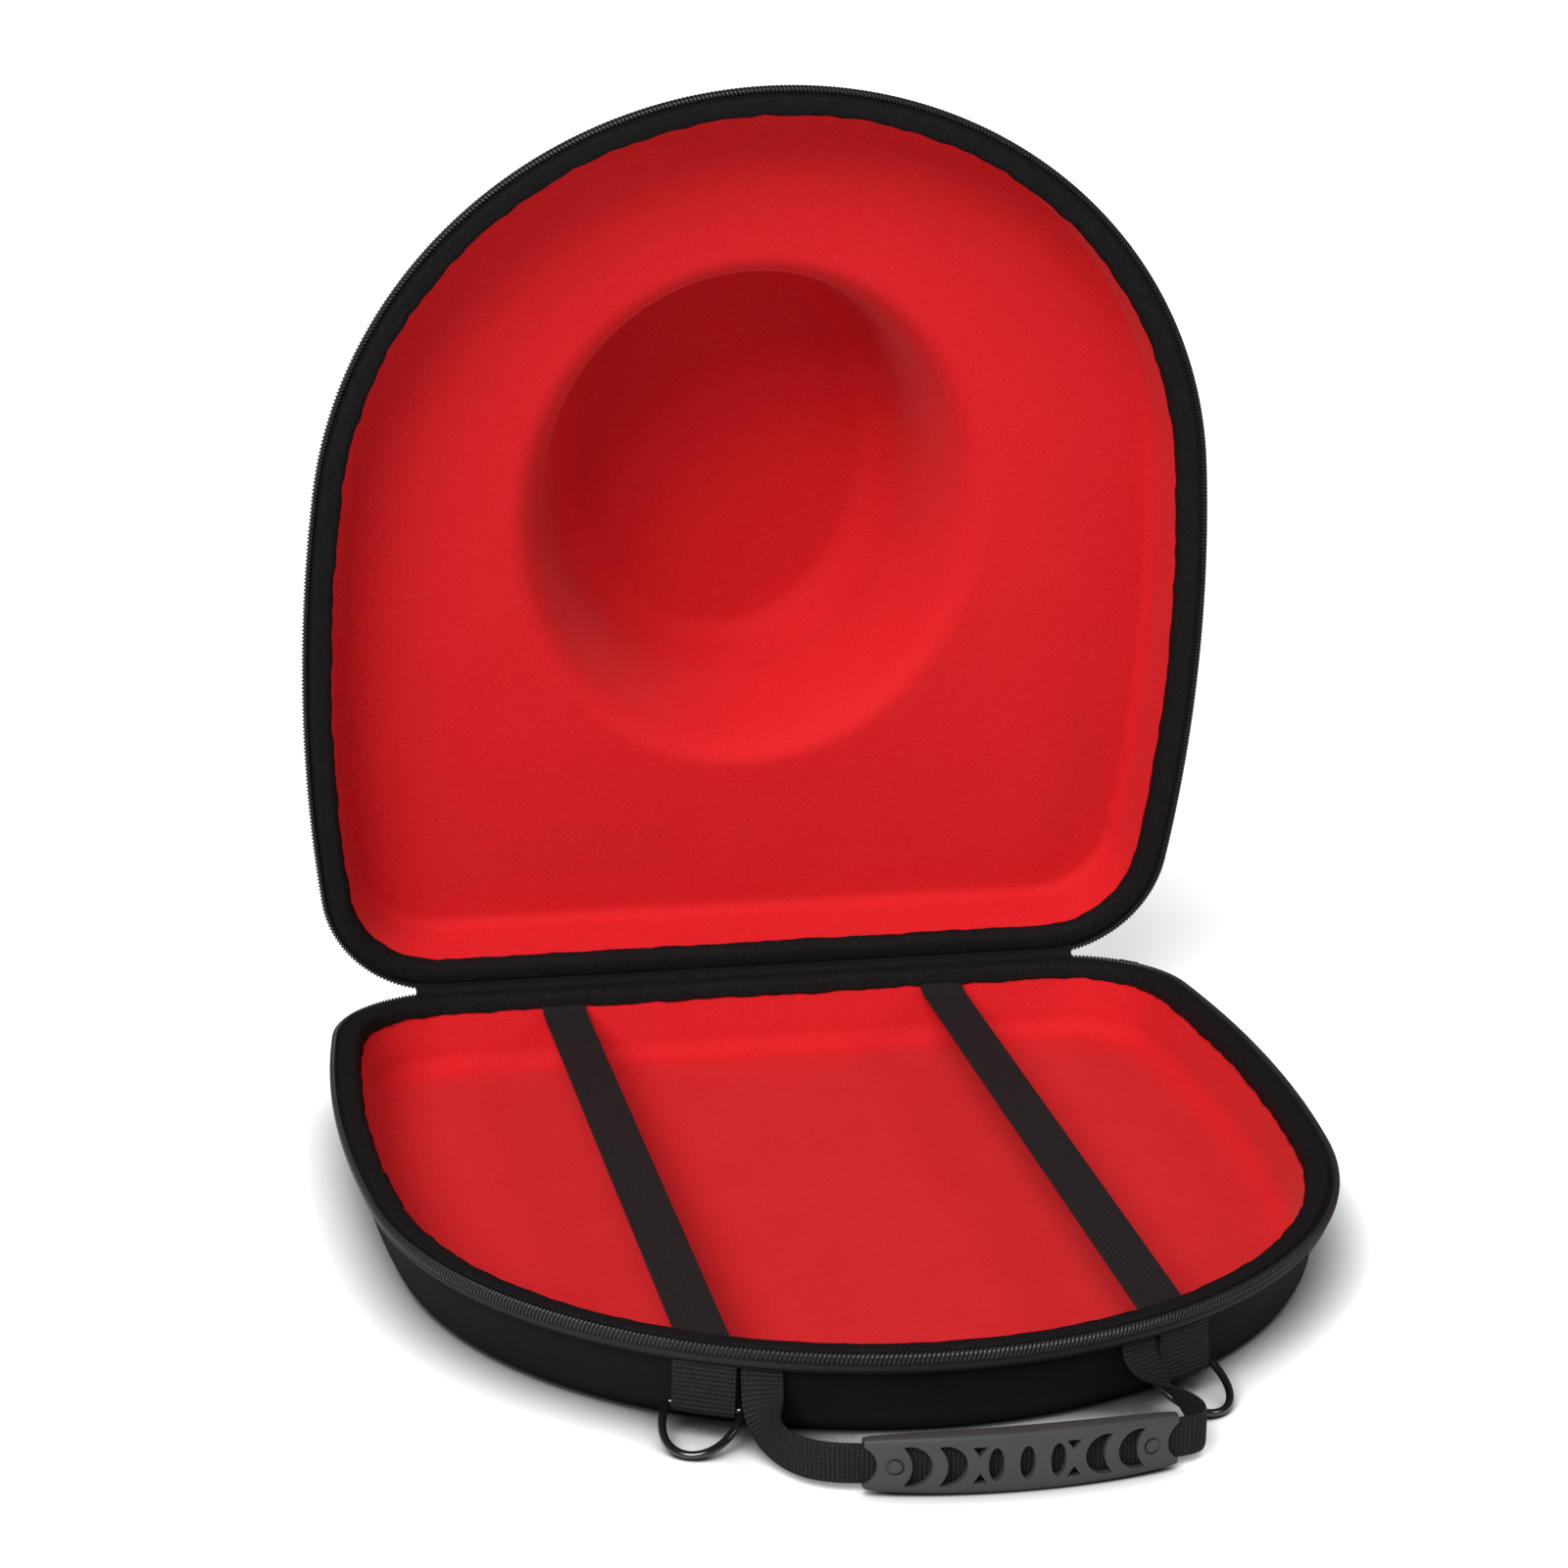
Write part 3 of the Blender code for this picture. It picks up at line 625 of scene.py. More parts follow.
def tape_satin():
    return surface(
        "tape_satin", "tape", "webbing_lit", 0.55, fibre_scale=1500.0, fibre_mix=0.12,
        fibre_bump=0.3, threads=((1.8, 0.0, 0.0), (0.0, 1.8, 0.0), 0.5, 3.0), thread_mix=0.2,
        thread_bump=0.5, patch_mix=0.05, specular=0.10, bump_mm=0.05,
    )


def coil_nylon():
    return surface(
        "coil_nylon", "coil", "webbing_lit", 0.26, fibre_scale=700.0, fibre_mix=0.15,
        fibre_bump=0.3, patch_mix=0.05, specular=0.35, bump_mm=0.02,
    )


def webbing_cloth():
    pitch = 1 / (bpy.context.scene.case_sizes.rib_pitch * MM)
    # thread_mix lifts the rib crests towards the webbing crest colour, a painted highlight
    return surface(
        "webbing_cloth", "webbing", "webbing_lit", 0.62, fibre_scale=1700.0, fibre_mix=0.12,
        fibre_bump=0.7, threads=((0.0, pitch, 0.0), (0.62, 0.0, 0.0), 0.55, 3.0), thread_mix=0.9,
        thread_bump=0.9, patch_mix=0.0, specular=0.07, bump_mm=0.12,
    )


def elastic_cloth():
    return surface(
        "elastic_cloth", "elastic", "webbing_lit", 0.66, fibre_scale=1500.0, fibre_mix=0.15,
        fibre_bump=0.5, threads=((0.50, 0.0, 0.0), (0.0, 1.25, 0.0), 0.3, 3.0), thread_mix=0.6,
        thread_bump=0.5, patch_mix=0.0, specular=0.07, bump_mm=0.08,
    )


def dark_metal():
    return surface(
        "dark_metal", "metal", "tape", 0.13, fibre_scale=350.0, fibre_mix=0.10,
        fibre_bump=0.15, patch_mix=0.05, specular=0.60, coat=0.5, bump_mm=0.01,
    )


def grip_rubber():
    return surface(
        "grip_rubber", "grip", "grip_lit", 0.50, fibre_scale=1200.0, fibre_mix=0.35,
        fibre_bump=0.5, patch_mix=0.20, specular=0.30, bump_mm=0.03,
    )


# Surfaces of the two halves
def base_face(rim):
    """Lining face of the base from the rim down to the middle of the floor."""
    wall = line_profile((LINING_IN, RIM_LOW), (BASE_CUP_IN, BASE_CUP_Z), 8)
    rows = offset_rows(rim, wall + arc_profile(BASE_CUP_IN, BASE_CUP_Z, BASE_CUP_ROUND, -1))
    return np.vstack((rows, shrink_rows(rows[-1], 14)))


def crown_oval(rim, share):
    """Oval whose points lie in the same directions from the crown's middle as the rim's."""
    half = [m + share * (t - m) for m, t in zip(CROWN_MOUTH, CROWN_TOP)]
    reach = rim[0] - np.array((0.0, CROWN_Y))
    scale = 1 / np.hypot(reach[:, 0] / half[0], reach[:, 1] / half[1])
    return reach * scale[:, None] + np.array((0.0, CROWN_Y))


def lid_face(rim):
    """Lining face of the closed lid from the rim up to the middle of the crown floor."""
    brim_z = RIM_HIGH + LID_DEPTH
    fillet_z = brim_z - LID_CUP_ROUND
    wall = line_profile((LINING_IN, RIM_HIGH), (LID_CUP_IN, fillet_z), 8)
    rows = offset_rows(rim, wall + arc_profile(LID_CUP_IN, fillet_z, LID_CUP_ROUND, 1))
    mouth = crown_oval(rim, CROWN_PROFILE[0][0])
    mouth = np.hstack((mouth, np.full((len(mouth), 1), brim_z)))
    brim = [rows[-1] + (mouth - rows[-1]) * i / 14 for i in range(1, 14)]
    way = (CROWN_MOUTH[0] - CROWN_TOP[0] + CROWN_MOUTH[1] - CROWN_TOP[1]) / 2
    knots = [(share * way, deep * CROWN_DEPTH) for share, deep in CROWN_PROFILE]
    crown = []
    for reach, deep in smooth_curve(knots, 6, (1.0, 0.0), (1.0, 0.0)):
        oval = crown_oval(rim, reach / way)
        crown.append(np.hstack((oval, np.full((len(oval), 1), brim_z + deep))))
    rows = np.vstack((rows, brim, crown))
    return np.vstack((rows, shrink_rows(rows[-1], 12)))


def lip_profile(bead):
    """Outside of the base's lip from the rim down, with the bead along its lower edge."""
    low = RIM_LOW - LIP_H
    points = [
        (LIP_IN + 0.0012, RIM_LOW), (LIP_IN + 0.0003, RIM_LOW), (LIP_IN, RIM_LOW - 0.0004),
        (LIP_IN, low + 2 * bead),
    ]
    points += [
        (LIP_IN - bead * (0.15 + 0.85 * math.sin(math.pi * i / 8)), low + bead * (1.4 - 1.7 * i / 8))
        for i in range(9)
    ]
    return points + [(WALL_IN - 0.0004, low - 0.0003), (WALL_IN, low - 0.0008)]


class HATCASE_OT_shells(bpy.types.Operator):
    """Builds the cloth-covered base and lid shells"""
    bl_idname = "hat_case.shells"
    bl_label = "Shells"

    def execute(self, context):
        sizes = context.scene.case_sizes
        rim, _ = sample_rim(sizes.rim_step)
        gap = LINING_T + FIT_GAP
        lip = lip_profile(sizes.bead)

        inner = raised(base_face(rim), -1, gap)
        wall = line_profile(lip[-1], (BASE_FOOT_IN, BASE_ROUND), 6)[1:]
        outside = lip + wall + arc_profile(BASE_FOOT_IN, BASE_ROUND, BASE_ROUND, -1)
        outer = offset_rows(rim, outside)
        outer = np.vstack((outer, shrink_rows(outer[-1], 8)))
        rows = np.vstack((inner[::-1], outer))
        mesh = grid_mesh("base_cover", rows, wrap_cols=True, u=rim[2], caps=True)
        piece = finish_piece("base_cover", mesh, cover_cloth())
        dress(piece, "base", ["base_shell"])

        face = lid_face(rim)
        inner = raised(face, 1, gap)
        outer = raised(face, 1, gap + SHELL_T)
        start = int(np.argmax(outer[:, 0, 2] > RIM_HIGH + LIP_H + 0.0012))
        lip_rows = mirrored(offset_rows(rim, lip))
        rows = np.vstack((inner[::-1], lip_rows, outer[start:]))
        rows = turned_open(rows)
        mesh = grid_mesh("lid_cover", rows, wrap_cols=True, u=rim[2], caps=True)
        piece = finish_piece("lid_cover", mesh, cover_cloth())
        dress(piece, "lid", ["lid_shell"])
        return {"FINISHED"}


class HATCASE_OT_linings(bpy.types.Operator):
    """Builds the red moulded linings"""
    bl_idname = "hat_case.linings"
    bl_label = "Linings"

    def execute(self, context):
        rim, _ = sample_rim(context.scene.case_sizes.rim_step)
        for body, face, side in (("base", base_face(rim), -1), ("lid", lid_face(rim), 1)):
            rows = np.vstack((raised(face, side, LINING_T)[::-1], face))
            if body == "lid":
                rows = turned_open(rows)
            name = body + "_pile"
            mesh = grid_mesh(name, rows, wrap_cols=True, u=rim[2], caps=True)
            piece = finish_piece(name, mesh, lining_pile())
            dress(piece, body, [body + "_lining"])
        return {"FINISHED"}


def wander(run, seeds):
    """Smooth irregular wave along the rim, from sines that close up round it."""
    turn = 2 * math.pi / run[-1]
    total = np.zeros(len(run) - 1)
    for count, phase, weight in seeds:
        total += weight * np.sin(turn * count * run[:-1] + phase)
    return total


def binding_rows(rim, rise, ripple, cup_in, cup_depth):
    """Closed section of the binding: domed over the rim, with a leg down the lining."""
    slope = (cup_in - LINING_IN) / cup_depth
    face = LINING_IN + 0.00012
    edge = wander(rim[2], ((61, 0.4, 0.5), (97, 2.1, 0.35), (143, 4.0, 0.3), (23, 1.2, 0.5)))
    lift = wander(rim[2], ((47, 1.0, 0.5), (83, 0.3, 0.4), (171, 2.6, 0.25), (17, 3.3, 0.4)))
    section = [
        (0.0026, 0.0001, 0, 0), (0.0026, 0.0006, 0, 0), (0.0033, 0.86 * rise, 0, 0.05),
        (0.0050, rise, 0, 0.08), (0.0072, 0.97 * rise, 0.2, 0.10), (0.0092, 0.80 * rise, 0.5, 0.08),
        (0.0106, 0.0003, 0.9, 0.1), (face + 0.0016, -0.0012, 1.0, 0.1),
        (face + 0.0013 + slope * 0.003, -0.0030, 1.0, 0.2),
        (face + 0.0011 + slope * 0.0052, -0.0052, 0.9, 1.0),
        (face + 0.0006 + slope * 0.0061, -0.0061, 0.3, 1.2),
        (face + slope * 0.0058, -0.0058, 0, 1.0), (face + slope * 0.003, -0.0030, 0, 0.2),
        (face, -0.0002, 0, 0), (0.0085, 0.0001, 0, 0), (0.0050, 0.0001, 0, 0),
    ]
    smooth = chaikin(section, 1)
    profile = [
        (inset + ripple * edge * wide, RIM_LOW + z + ripple * lift * high)
        for inset, z, wide, high in smooth
    ]
    return offset_rows(rim, profile)


class HATCASE_OT_bindings(bpy.types.Operator):
    """Builds the twill binding over both rims"""
    bl_idname = "hat_case.bindings"
    bl_label = "Bindings"

    def execute(self, context):
        sizes = context.scene.case_sizes
        rim, _ = sample_rim(sizes.rim_step)
        cups = {
            "base": (BASE_CUP_IN, RIM_LOW - BASE_CUP_Z),
            "lid": (LID_CUP_IN, LID_DEPTH - LID_CUP_ROUND),
        }
        for body, (cup_in, cup_depth) in cups.items():
            rows = binding_rows(rim, sizes.binding_rise, sizes.binding_ripple, cup_in, cup_depth)
            if body == "lid":
                rows = turned_open(mirrored(rows))
            name = body + "_rim_binding"
            mesh = grid_mesh(name, rows, wrap_rows=True, wrap_cols=True, u=rim[2])
            piece = finish_piece(name, mesh, binding_twill(), 60.0)
            dress(piece, body, [body + "_binding"])
        return {"FINISHED"}


def tube(path, radius, sides, side_hint, closed=False):
    """Round tube along a path; side_hint gives a direction off the path at each point."""
    if closed:
        head = np.roll(path, -1, 0) - np.roll(path, 1, 0)
    else:
        head = np.gradient(path, axis=0)
    head /= np.linalg.norm(head, axis=1, keepdims=True)
    first = side_hint - head * np.sum(side_hint * head, axis=1, keepdims=True)
    first /= np.maximum(np.linalg.norm(first, axis=1, keepdims=True), 1e-9)
    second = np.cross(head, first)
    angles = np.linspace(0, 2 * math.pi, sides, endpoint=False)
    return np.array([
        path + radius * (math.cos(a) * first + math.sin(a) * second) for a in angles
    ]).transpose(1, 0, 2)


def coil_rows(zipped, sizes, per_turn=12, sides=5):
    """Flattened nylon helix along the outer edge of the rim."""
    points, outs, run = zipped
    turns = (run[-1] - run[0]) / sizes.coil_pitch
    count = int(turns * per_turn)
    at = np.linspace(run[0], run[-1], count)
    x, y = np.interp(at, run, points[:, 0]), np.interp(at, run, points[:, 1])
    ox, oy = np.interp(at, run, outs[:, 0]), np.interp(at, run, outs[:, 1])
    turn = 2 * math.pi * np.arange(count) / per_turn
    reach = COIL_OUT + sizes.coil_depth * np.cos(turn)
    z = RIM_LOW - COIL_DROP + sizes.coil_height * COIL_SHARE * np.sin(turn)
    lean = COIL_LEAN * np.sin(turn)
    path = np.stack((x + ox * reach - oy * lean, y + oy * reach + ox * lean, z), -1)
    hint = np.stack((ox, oy, 0.3 * np.ones(count)), -1)
    return tube(path, sizes.coil_wire, sides, hint)


def cord_rows(zipped, sizes):
    """Sewn cord that fills the coil."""
    angles = np.linspace(0, 2 * math.pi, 12, endpoint=False)
    half_t, half_h = CORD_SHARE[0] * sizes.coil_depth, CORD_SHARE[1] * sizes.coil_height
    section = [
        (-COIL_OUT + half_t * math.cos(a), RIM_LOW - COIL_DROP + half_h * math.sin(a))
        for a in angles
    ]
    return offset_rows(zipped, section).transpose(1, 0, 2)


class HATCASE_OT_zips(bpy.types.Operator):
    """Builds the two zip halves: tape round the lip, and the coil with its cord on the edge"""
    bl_idname = "hat_case.zips"
    bl_label = "Zip halves"

    def execute(self, context):
        sizes = context.scene.case_sizes
        _, zipped = sample_rim(sizes.rim_step)
        low = RIM_LOW - LIP_H + 0.0009
        section = chaikin([
            (0.0009, low), (0.0001, low), (-0.0002, low + 0.0014), (-0.0001, RIM_LOW - 0.0042),
            (0.0002, RIM_LOW - 0.0036), (0.0003, RIM_LOW - 0.0006), (0.0010, RIM_LOW - 0.0004),
        ], 1)
        band = offset_rows(zipped, section).transpose(1, 0, 2)
        coil = coil_rows(zipped, sizes)
        cord = cord_rows(zipped, sizes)
        parts = (
            ("tape", band, tape_satin), ("cord", cord, tape_satin), ("coil", coil, coil_nylon),
        )
        for body in ("base", "lid"):
            for label, rows, finish in parts:
                if body == "lid":
                    rows = turned_open(mirrored(rows))
                name = body + "_zip_" + label
                mesh = grid_mesh(name, rows, wrap_cols=True, caps=True)
                piece = finish_piece(name, mesh, finish(), 70.0)
                dress(piece, body, [body + "_zip"])
        return {"FINISHED"}


class HATCASE_OT_hinge(bpy.types.Operator):
    """Builds the cloth hinge strip along the straight back"""
    bl_idname = "hat_case.hinge"
    bl_label = "Hinge cloth"

    def execute(self, context):
        full, _ = sample_rim(context.scene.case_sizes.rim_step)
        behind = full[0][:, 1] > CASE_L / 2 - CORNER_R
        back = np.flatnonzero(behind & (np.abs(full[0][:, 0]) < HINGE_HALF))
        order = back[np.argsort(full[0][back, 0])]
        points, outs = full[0][order], full[1][order]
        section = (
            ("base", -0.0004, 0.0304), ("base", 0.0006, 0.0301), ("base", 0.0009, 0.0320),
            ("base", 0.0008, 0.0375), ("base", 0.0010, 0.0389), ("lid", 0.0008, 0.0405),
            ("lid", 0.0009, 0.0460), ("lid", 0.0006, 0.0479), ("lid", -0.0004, 0.0476),
            ("lid", -0.0006, 0.0408), ("lid", -0.0026, 0.0405), ("lid", -0.0026, 0.0398),
            ("lid", -0.0004, 0.0395), ("base", 0.0002, 0.0390), ("base", -0.0004, 0.0385),
            ("base", -0.0026, 0.0382), ("base", -0.0026, 0.0376), ("base", -0.0006, 0.0376),
        )
        puff = 0.00012 * np.sin(points[:, 0] * 410.0) + 0.00008 * np.sin(points[:, 0] * 173.0 + 1.0)
        rows = []
        for half, reach, z in section:
            flat = points + outs * (reach + (puff[:, None] if reach > 0.0007 else 0.0))
            column = np.hstack((flat, np.full((len(flat), 1), z)))
            rows.append(turned_open(column) if half == "lid" else column)
        rows = np.array(rows).transpose(1, 0, 2)
        mesh = grid_mesh("hinge_cloth", rows, wrap_cols=True, caps=True)
        piece = finish_piece("hinge_cloth", mesh, binding_twill(), 50.0)
        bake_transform(piece)
        dress(piece, None, ["hinge_leaf_base", "hinge_leaf_lid"])
        return {"FINISHED"}


# Webbing, rings and elastics
def place(x):
    """Maps along, outward and height at a point of the front arc into the frame."""
    turn = math.asin(x / FRONT_R)
    point = np.array((FRONT_R * math.sin(turn), -CASE_L / 2 + FRONT_R - FRONT_R * math.cos(turn), 0))
    along = np.array((math.cos(turn), math.sin(turn), 0.0))
    out = np.array((math.sin(turn), -math.cos(turn), 0.0))
    up = np.array((0.0, 0.0, 1.0))

    def put(u, v, z):
        u, v, z = np.broadcast_arrays(*(np.asarray(a, dtype=float)[..., None] for a in (u, v, z)))
        return point + along * u + out * v + up * z

    return put


def resample(path, step):
    path = np.array(path, dtype=float)
    run = np.concatenate(((0.0,), np.cumsum(np.linalg.norm(np.diff(path, axis=0), axis=1))))
    count = max(2, int(run[-1] / step))
    at = np.linspace(0, run[-1], count)
    return np.stack([np.interp(at, run, path[:, k]) for k in range(path.shape[1])], -1), at


def ribs(run, pitch):
    """Rounded ribs across the webbing, from 0 in the grooves to 1 on the crests."""
    return (0.5 + 0.5 * np.sin(2 * math.pi * run / pitch)) ** 0.6


class HATCASE_OT_ring_tabs(bpy.types.Operator):
    """Builds the ribbed webbing loops that hold the rings"""
    bl_idname = "hat_case.ring_tabs"
    bl_label = "Ring tabs"

    def execute(self, context):
        sizes = context.scene.case_sizes
        top = RIM_LOW - LIP_H - FIT_GAP
        inner_r = RING_WIRE_R + FIT_GAP
        outer_r = inner_r + TAB_T - sizes.rib_height
        angles = -np.pi * np.arange(25) / 24
        outer, inner = (
            np.stack((-TAB_IN + r * np.cos(angles), RING_BAR_Z + r * np.sin(angles)), -1)
            for r in (outer_r, inner_r)
        )
        front, back = -TAB_IN + TAB_T, -TAB_IN - TAB_T
        outer = np.vstack(((front, top), outer, (back, top)))
        seam = top - TAB_SEAM
        inner = np.vstack(((-TAB_IN + FIT_GAP / 2, seam), inner, (-TAB_IN - FIT_GAP / 2, seam)))
        step = sizes.rib_pitch * 0.12
        outer, run = resample(outer, step)
        inner, _ = resample(inner, step)
        inner = inner[np.linspace(0, len(inner) - 1, len(outer)).round().astype(int)]
        head = np.gradient(outer, axis=0)
        head /= np.linalg.norm(head, axis=1, keepdims=True)
        normal = np.stack((-head[:, 1], head[:, 0]), -1)
        if normal[len(normal) // 8, 0] < 0:
            normal = -normal
        rib = ribs(run, sizes.rib_pitch)
        across = np.linspace(-1, 1, 15)
        for side, label in ((-1, "left"), (1, "right")):
            put = place(side * TAB_X)
            columns = []
            for k, share in enumerate(across):
                edge = 1 - abs(share) ** 8
                lift = outer + normal * (sizes.rib_height * rib * edge)[:, None]
                half = TAB_W / 2 - 0.00014 * (1 - rib)
                columns.append(put(share * half, lift[:, 0], lift[:, 1]))
            for share in across[::-1][::2]:
                columns.append(put(share * TAB_W / 2 * 0.995, inner[:, 0], inner[:, 1]))
            rows = np.array(columns).transpose(1, 0, 2)
            name = "ring_tab_webbing_" + label
            u = np.concatenate((across, across[::-1][::2], (across[0],))) * TAB_W / 2
            v = np.concatenate((run, run[-1:]))
            mesh = grid_mesh(name, rows, wrap_cols=True, u=u, v=v, caps=True)
            piece = finish_piece(name, mesh, webbing_cloth(), 70.0)
            dress(piece, "base", ["ring_tab_" + label])
        return {"FINISHED"}


class HATCASE_OT_rings(bpy.types.Operator):
    """Builds the two bent-wire rings"""
    bl_idname = "hat_case.rings"
    bl_label = "D-rings"

    def execute(self, context):
        half = TAB_W / 2 + RING_SIDE_GAP + RING_WIRE_R
        slope = math.asin((RING_BAR_Z - RING_WIRE_R - FIT_GAP) / RING_REACH)
        path = [
            (-half * math.cos(a), RING_REACH * math.sin(a) ** 0.85)
            for a in np.linspace(0, math.pi, 29)
        ]
        bar = (half - 0.0018, half * 0.5, 0.0, -half * 0.5, -half + 0.0018)
        path += [(along, 0.0) for along in bar]
        path = chaikin(path, 3)
        path = np.maximum(path, (-1.0, 0.0))
        for side, label in ((-1, "left"), (1, "right")):
            put = place(side * TAB_X)
            u, reach = path[:, 0], path[:, 1]
            line = put(u, -TAB_IN + reach * math.cos(slope), RING_BAR_Z - reach * math.sin(slope))
            lift = put(0.0, math.sin(slope), math.cos(slope)) - put(0.0, 0.0, 0.0)
            hint = np.repeat(np.reshape(lift, (1, 3)), len(line), axis=0)
            rows = tube(line, RING_WIRE_R, 20, hint, closed=True)
            name = "d_ring_wire_" + label
            mesh = grid_mesh(name, rows, wrap_rows=True, wrap_cols=True)
            piece = finish_piece(name, mesh, dark_metal(), 80.0)
            dress(piece, "ring_" + label, ["d_ring_" + label])
        return {"FINISHED"}


class HATCASE_OT_elastics(bpy.types.Operator):
    """Builds the two hold-down elastics"""
    bl_idname = "hat_case.elastics"
    bl_label = "Elastics"

    def execute(self, context):
        low = RIM_LOW - ELASTIC_DROP
        slope = (BASE_CUP_IN - LINING_IN) / (RIM_LOW - BASE_CUP_Z)
        inset = LINING_IN + slope * ELASTIC_DROP + 2 * FIT_GAP
        back = CASE_L / 2 - inset
        across = np.linspace(-1, 1, 65)
        cord = ELASTIC_CORD_H * np.cos(across * ELASTIC_CORDS * 2 * math.pi)
        thin = ELASTIC_SKIN + ELASTIC_EDGE * np.abs(across) ** 10 - cord
        for side, label in ((-1, "left"), (1, "right")):
            x = side * ELASTIC_X + across * ELASTIC_W / 2
            front = FRONT_R - CASE_L / 2 - np.sqrt((FRONT_R - inset) ** 2 - x * x)
            rows = []
            for t in np.linspace(0, 1, 80):
                y = front + (back - front) * t
                near = max(0.0, 1 - min(t, 1 - t) / ELASTIC_TUCK[0])
                tucked = low + ELASTIC_TUCK[1] * near * near * (3 - 2 * near)
                upper = np.stack((x, y, tucked + ELASTIC_T - thin), -1)
                lower = np.stack((x, y, tucked + thin), -1)[::-1]
                rows.append(np.vstack((upper, lower)))
            rows = np.array(rows)
            name = "elastic_strip_" + label
            u = np.concatenate((across, across[::-1], across[:1])) * ELASTIC_W / 2
            mesh = grid_mesh(name, rows, wrap_cols=True, u=u, caps=True)
            piece = finish_piece(name, mesh, elastic_cloth(), 60.0)
            dress(piece, "base", ["elastic_" + label])
        return {"FINISHED"}


# Handle
def grip_line(x):
    share = (x - GRIP_X) / (GRIP_L / 2)
    return np.array((x, GRIP_Y + GRIP_BOW * share * share, GRIP_Z))


def strap_frames(side, count=260):
    """Centre, width direction and face direction from under the lip to the grip end."""
    reach = (TAB_W / 2 + STRAP_TAB_GAP + STRAP_W / 2) * math.cos(TAB_X / FRONT_R)
    root_x = side * (TAB_X - reach)
    put = place(root_x)
    turn = math.asin(root_x / FRONT_R)
    along = np.array((math.cos(turn), math.sin(turn), 0.0))
    root = put(0.0, -TAB_IN, RIM_LOW - LIP_H - FIT_GAP).ravel()
    bend_x, bend_out = STRAP_BENDS[side]
    end = grip_line(GRIP_X + side * (GRIP_L / 2 + STRAP_GRIP_GAP))
    first = np.array((root[0], root[1], STRAP_LOW_Z))
    second = np.array((side * TAB_X + bend_x, -CASE_L / 2 - bend_out, GRIP_Z))
    frames = []
    for t in np.linspace(0, 1, count):
        s = 1 - t
        centre = root * s**3 + first * 3 * s * s * t + second * 3 * s * t * t + end * t**3
        head = (first - root) * 3 * s * s + (second - first) * 6 * s * t + (end - second) * 3 * t * t
        head /= np.linalg.norm(head)
        blend = min(1.0, t / 0.75)
        blend = blend * blend * (3 - 2 * blend)
        wide = -side * along * (1 - blend) + np.array((0, 0, 1.0)) * blend
        wide -= head * wide.dot(head)
        wide /= np.linalg.norm(wide)
        frames.append((centre, wide, -side * np.cross(head, wide)))
    return frames


class HATCASE_OT_handle_strap(bpy.types.Operator):
    """Builds the webbing of the handle, from lip to lip through the grip"""
    bl_idname = "hat_case.handle_strap"
    bl_label = "Handle strap"

    def execute(self, context):
        sizes = context.scene.case_sizes
        frames = strap_frames(-1)
        for x in np.linspace(GRIP_X - GRIP_L / 2 - 0.002, GRIP_X + GRIP_L / 2 + 0.002, 420):
            frames.append((grip_line(x), np.array((0, 0, 1.0)), np.array((0, -1.0, 0))))
        frames += strap_frames(1)[::-1]
        centre = np.array([f[0] for f in frames])
        wide = np.array([f[1] for f in frames])
        face = np.array([f[2] for f in frames])
        gap = np.linalg.norm(np.diff(centre, axis=0), axis=1)
        run = np.concatenate(((0.0,), np.cumsum(gap)))
        rib = ribs(run, sizes.rib_pitch)
        across = np.linspace(-1, 1, 15)
        base = STRAP_T / 2 - sizes.rib_height
        columns = []
        for sign, shares in ((-1, across), (1, across[::-1])):
            for share in shares:
                edge = 1 - 0.5 * abs(share) ** 8
                half = STRAP_W / 2 - 0.00018 * (1 - rib)
                thick = sign * (base * edge + sizes.rib_height * rib * (1 - abs(share) ** 6))
                columns.append(centre + wide * (share * half)[:, None] + face * thick[:, None])
        rows = np.array(columns).transpose(1, 0, 2)
        u = np.concatenate((across, across[::-1], across[:1])) * STRAP_W / 2
        v = np.concatenate((run, run[-1:]))
        mesh = grid_mesh("handle_webbing", rows, wrap_cols=True, u=u, v=v, caps=True)
        piece = finish_piece("handle_webbing", mesh, webbing_cloth(), 70.0)
        dress(piece, "base", ["handle_strap"])
        return {"FINISHED"}


def window_shapes():
    """Outlines of the windows through the grip, in metres from its middle."""
    pitch, wide, high = LENS
    shapes = []
    for i in (-1, 0, 1):
        shapes.append([
            (i * pitch + wide / 2 * math.cos(a), high / 2 * math.sin(a))
            for a in np.linspace(0, 2 * math.pi, 28, endpoint=False)
        ])
    tip = math.acos((1 + MOON_SHIFT**2 - MOON_BITE**2) / (2 * MOON_SHIFT))
    bite = math.acos((MOON_BITE**2 + MOON_SHIFT**2 - 1) / (2 * MOON_BITE * MOON_SHIFT))
    moon = [(math.cos(a), math.sin(a)) for a in np.linspace(tip, 2 * math.pi - tip, 26)]
    for a in np.linspace(math.pi + bite, math.pi - bite, 20)[1:-1]:
        moon.append((MOON_SHIFT + MOON_BITE * math.cos(a), MOON_BITE * math.sin(a)))
    notch_x, notch_w, edge, point = NOTCH
    for side in (-1, 1):
        for x in MOON_X:
            shapes.append([(side * (x + px * MOON_R[0]), pz * MOON_R[1]) for px, pz in moon])
        for up in (-1, 1):
            shapes.append([
                (side * notch_x - notch_w / 2, up * edge), (side * notch_x + notch_w / 2, up * edge),
                (side * notch_x, up * point),
            ])
    shapes = [[(x * GRIP_L, z * GRIP_MID[0]) for x, z in shape] for shape in shapes]
    for side in (-1, 1):
        shapes.append([
            (side * ARCH_X + ARCH_R * math.cos(a), ARCH_R * math.sin(a))
            for a in np.linspace(0, 2 * math.pi, 40, endpoint=False)
        ])
    return shapes


